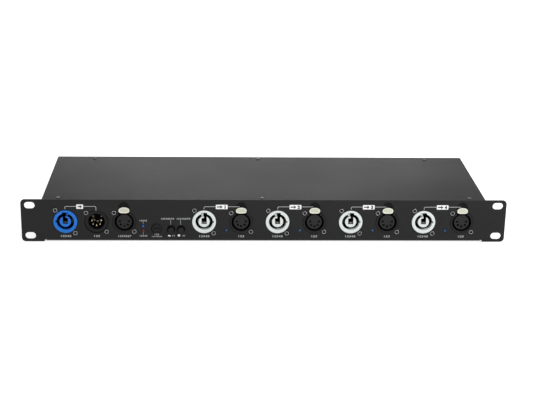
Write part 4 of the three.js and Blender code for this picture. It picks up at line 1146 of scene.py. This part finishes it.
def arrow(left, half, length, layer):
    """A plain arrow that points right, on a plate."""
    tip = left + length
    neck = tip - half * 1.5
    head = half * 1.25
    shaft = half * 0.4
    outline = rounded([
        (tip, PLATE_MIDDLE, 0.15), (neck, PLATE_MIDDLE + head, 0.1), (neck, PLATE_MIDDLE + shaft, 0),
        (left, PLATE_MIDDLE + shaft, 0.1), (left, PLATE_MIDDLE - shaft, 0.1),
        (neck, PLATE_MIDDLE - shaft, 0), (neck, PLATE_MIDDLE - head, 0.1),
    ], 3)
    return ink([outline], layer)


def icon(left, right, high, left_cut, right_cut):
    """A block beside a button, whose upper corners are cut off by an (across, down) pair."""
    return rounded([
        (left, ICON_LOW, 0.1), (right, ICON_LOW, 0.1), (right, high - right_cut[1], 0.2),
        (right - right_cut[0], high, 0.2), (left + left_cut[0], high, 0.2),
        (left, high - left_cut[1], 0.2),
    ], 3)


def tab_shadow_film(x, z):
    """Painted shadow: a matt dark film on the panel over a latch tab, from its opening up towards the
    panel's edge.
    """
    end = math.pi - SHADE_START
    outline = arch(x, z, ARCH_HALF + 0.2, SHADE_RISE, SHADE_START, end)
    outline += arch(x, z, ARCH_HALF + 0.1, ARCH_RISE + 0.1, end, SHADE_START)
    return slab([outline], INK_FRONT / 2, INK_BACK, 0.0)


def make_brackets():
    # A painted shadow over each data connector's latch tab, then the printed brackets
    parts = [(tab_shadow_film(x, z), TAB_SHADOW) for x, z in DATA.values()]
    x = POWER["power_inlet"][0]
    left = x + INPUT_PLATE[0]
    right = x + INPUT_PLATE[1]
    parts += bracket(x, left, right, elbow(DATA_IN[0], DATA_LEG, right))
    parts.append((arrow(left + 1.2, 1.45, 4.4, 2), DARK_INK))
    for i in PAIRS:
        x = POWER[f"power_outlet_{i}"][0]
        data_x = DATA[f"data_out_{i}"][0]
        centre = (x + data_x) / 2 + PLATE_SHIFT
        right = centre + PLATE_HALF
        line = stroke(right + LINE / 2, BRACKET_HEIGHT, data_x - LINE_END, BRACKET_HEIGHT)
        parts += bracket(x, centre - PLATE_HALF, right, line)
        number = figures(f"{i}", FIGURE_HEIGHT, centre + FIGURE_SHIFT, PLATE_MIDDLE, FIGURE_WEIGHT,
                         layer=2)
        parts += [(number, DARK_INK), (arrow(centre + ARROW_SHIFT, 1.4, 5.6, 3), DARK_INK)]
    piece("printed_brackets_and_tab_shadows", parts, slot="pale_plastic")


def make_captions():
    lamp_x = LAMPS["signal_lamp"][0]
    left_x = BUTTONS["terminate_button"][0]
    right_x = BUTTONS["filter_button"][0]
    # Each caption's figures, height and width, and its place
    captions = [("12345", 1.9, 10.0, x, CAPTION_HEIGHT) for x, z in POWER.values()]
    captions += [("123", 1.9, 5.4, x, CAPTION_HEIGHT) for x, z in [DATA_IN] + list(DATA.values())[1:]]
    captions += [
        ("1234567", 1.9, 12.6, DATA["data_link"][0], CAPTION_HEIGHT),
        ("12345", 1.5, 7.0, lamp_x, 22.2), ("12345", 1.5, 7.2, lamp_x, 6.0),
        ("123", 1.6, 3.8, PLUG[0], 7.5), ("12345678", 1.0, 9.8, PLUG[0], 5.3),
        ("12345678", 1.6, 12.6, left_x - 3.6, 24.2), ("12345678", 1.6, 13.0, right_x + 2.3, 24.2),
        ("12", 1.2, 2.4, left_x + 2.3, 6.2), ("34", 1.2, 2.4, right_x + 2.7, 6.2),
    ]
    parts = [(figures(text, height, x, z, CAPTION_WEIGHT, width), CAPTION_INK)
             for text, height, width, x, z in captions]
    # Short upright lines between captions and their lamps or buttons
    lines = [(lamp_x, 20.8, 18.6), (lamp_x, 9.6, 7.7)]
    lines += [(x - 0.3, 22.8, 18.2) for x, z in BUTTONS.values()]
    parts += [(ink([stroke(x, high, x, low, THIN_LINE)]), CAPTION_INK) for x, high, low in lines]
    parts.append((ink([icon(left_x - 3.1, left_x - 0.4, 6.8, (0.6, 0.4), (0.7, 0.7))]), INK))
    parts.append((ink([icon(right_x - 3.1, right_x - 0.9, 7.6, (0.4, 0.4), (0.4, 0.4))]), INK))
    piece("printed_captions", parts, slot="pale_plastic")


# Nodes that stay as they are and take a finish

def dress_nodes():
    groups = (
        (ZINC, ["front_rail", "service_socket"]),
        (BLACK, ["terminate_switch", "filter_switch"]),
        (BOARD, ["input_board", "supply_board"] + [f"output_board_{i}" for i in PAIRS]),
        (IRON, ["transformer"]),
        (SHEATH, ["mains_lead", "low_voltage_lead", "signal_lead"]),
        # Mains contacts in a darkened metal, painted shade
        (SHADED_CONTACT, [f"{name}_contacts" for name in POWER]),
    )
    for look, nodes in groups:
        for node in nodes:
            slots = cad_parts[node].data.materials
            slots.clear()
            slots.append(look)


# Stage

FLOOR_SIZE = 14.0
FLOOR_DROP = 0.0005
FLOOR_TONE = 0.8
FLOOR_LIFT = 0.62  # glow that brings the floor to white where the camera sees it
ROOM_LIGHT = 0.59
WHITE = (1, 1, 1, 1)


def strength(tree, rays, unseen, seen):
    """A strength with one value for rays of the named kinds and another for all the rest."""
    path = new_node(tree, "LightPath", {})
    value = path.outputs[rays[0]]
    for ray in rays[1:]:
        either = new_node(tree, "Math", {0: value, 1: path.outputs[ray]})
        either.operation = "MAXIMUM"
        value = either.outputs[0]
    return new_node(tree, "MapRange", {"Value": value, "To Min": unseen, "To Max": seen}).outputs["Result"]


def floor_material():
    """A pale surface that looks white to the camera and keeps the shadows that fall on it."""
    look = bpy.data.materials.new("floor_white")
    look.use_nodes = True
    tree = look.node_tree
    tree.nodes.clear()
    rays = ("Is Camera Ray", "Is Glossy Ray", "Is Transmission Ray")
    matte = new_node(tree, "BsdfDiffuse", {"Color": (FLOOR_TONE, FLOOR_TONE, FLOOR_TONE, 1)})
    glow = new_node(tree, "Emission", {"Color": WHITE, "Strength": strength(tree, rays, 0.0, FLOOR_LIFT)})
    both = new_node(tree, "AddShader", {0: matte.outputs[0], 1: glow.outputs[0]})
    new_node(tree, "OutputMaterial", {"Surface": both.outputs[0]})
    return look


def area(name, place, width, height, power):
    """A rectangular light that faces the part."""
    data = bpy.data.lights.new(name, "AREA")
    data.shape = "RECTANGLE"
    data.size = width
    data.size_y = height
    data.energy = power
    lamp = linked(data, name)
    lamp.location = place
    lamp.rotation_euler = (-Vector(place)).to_track_quat("-Z", "Y").to_euler()


def make_world():
    """An even room that looks white to the camera and lights the part a little less."""
    world = bpy.data.worlds.new("world")
    bpy.context.scene.world = world
    world.use_nodes = True
    tree = world.node_tree
    level = strength(tree, ("Is Camera Ray", "Is Transmission Ray"), ROOM_LIGHT, 1.0)
    fill(tree, tree.nodes["Background"], {"Color": WHITE, "Strength": level})


def make_stage():
    bpy.ops.mesh.primitive_plane_add(size=FLOOR_SIZE, location=(0, 0, -FLOOR_DROP))
    floor = bpy.context.object
    floor.name = "floor"
    floor.data.materials.append(floor_material())
    make_world()
    area("key", (0.8, -0.95, 1.0), width=0.6, height=0.5, power=13.7)
    area("back", (0.03, 0.45, 0.55), width=0.5, height=0.25, power=0.85)
    area("strip", (0.0, 0.85, 0.32), width=0.7, height=0.14, power=0.73)
    bpy.context.scene.view_settings.view_transform = "Standard"


make_camera()
make_stage()
make_case()
make_screws()
make_power()
make_data()
make_data_in()
make_lamps()
make_plug()
make_buttons()
make_brackets()
make_captions()
dress_nodes()
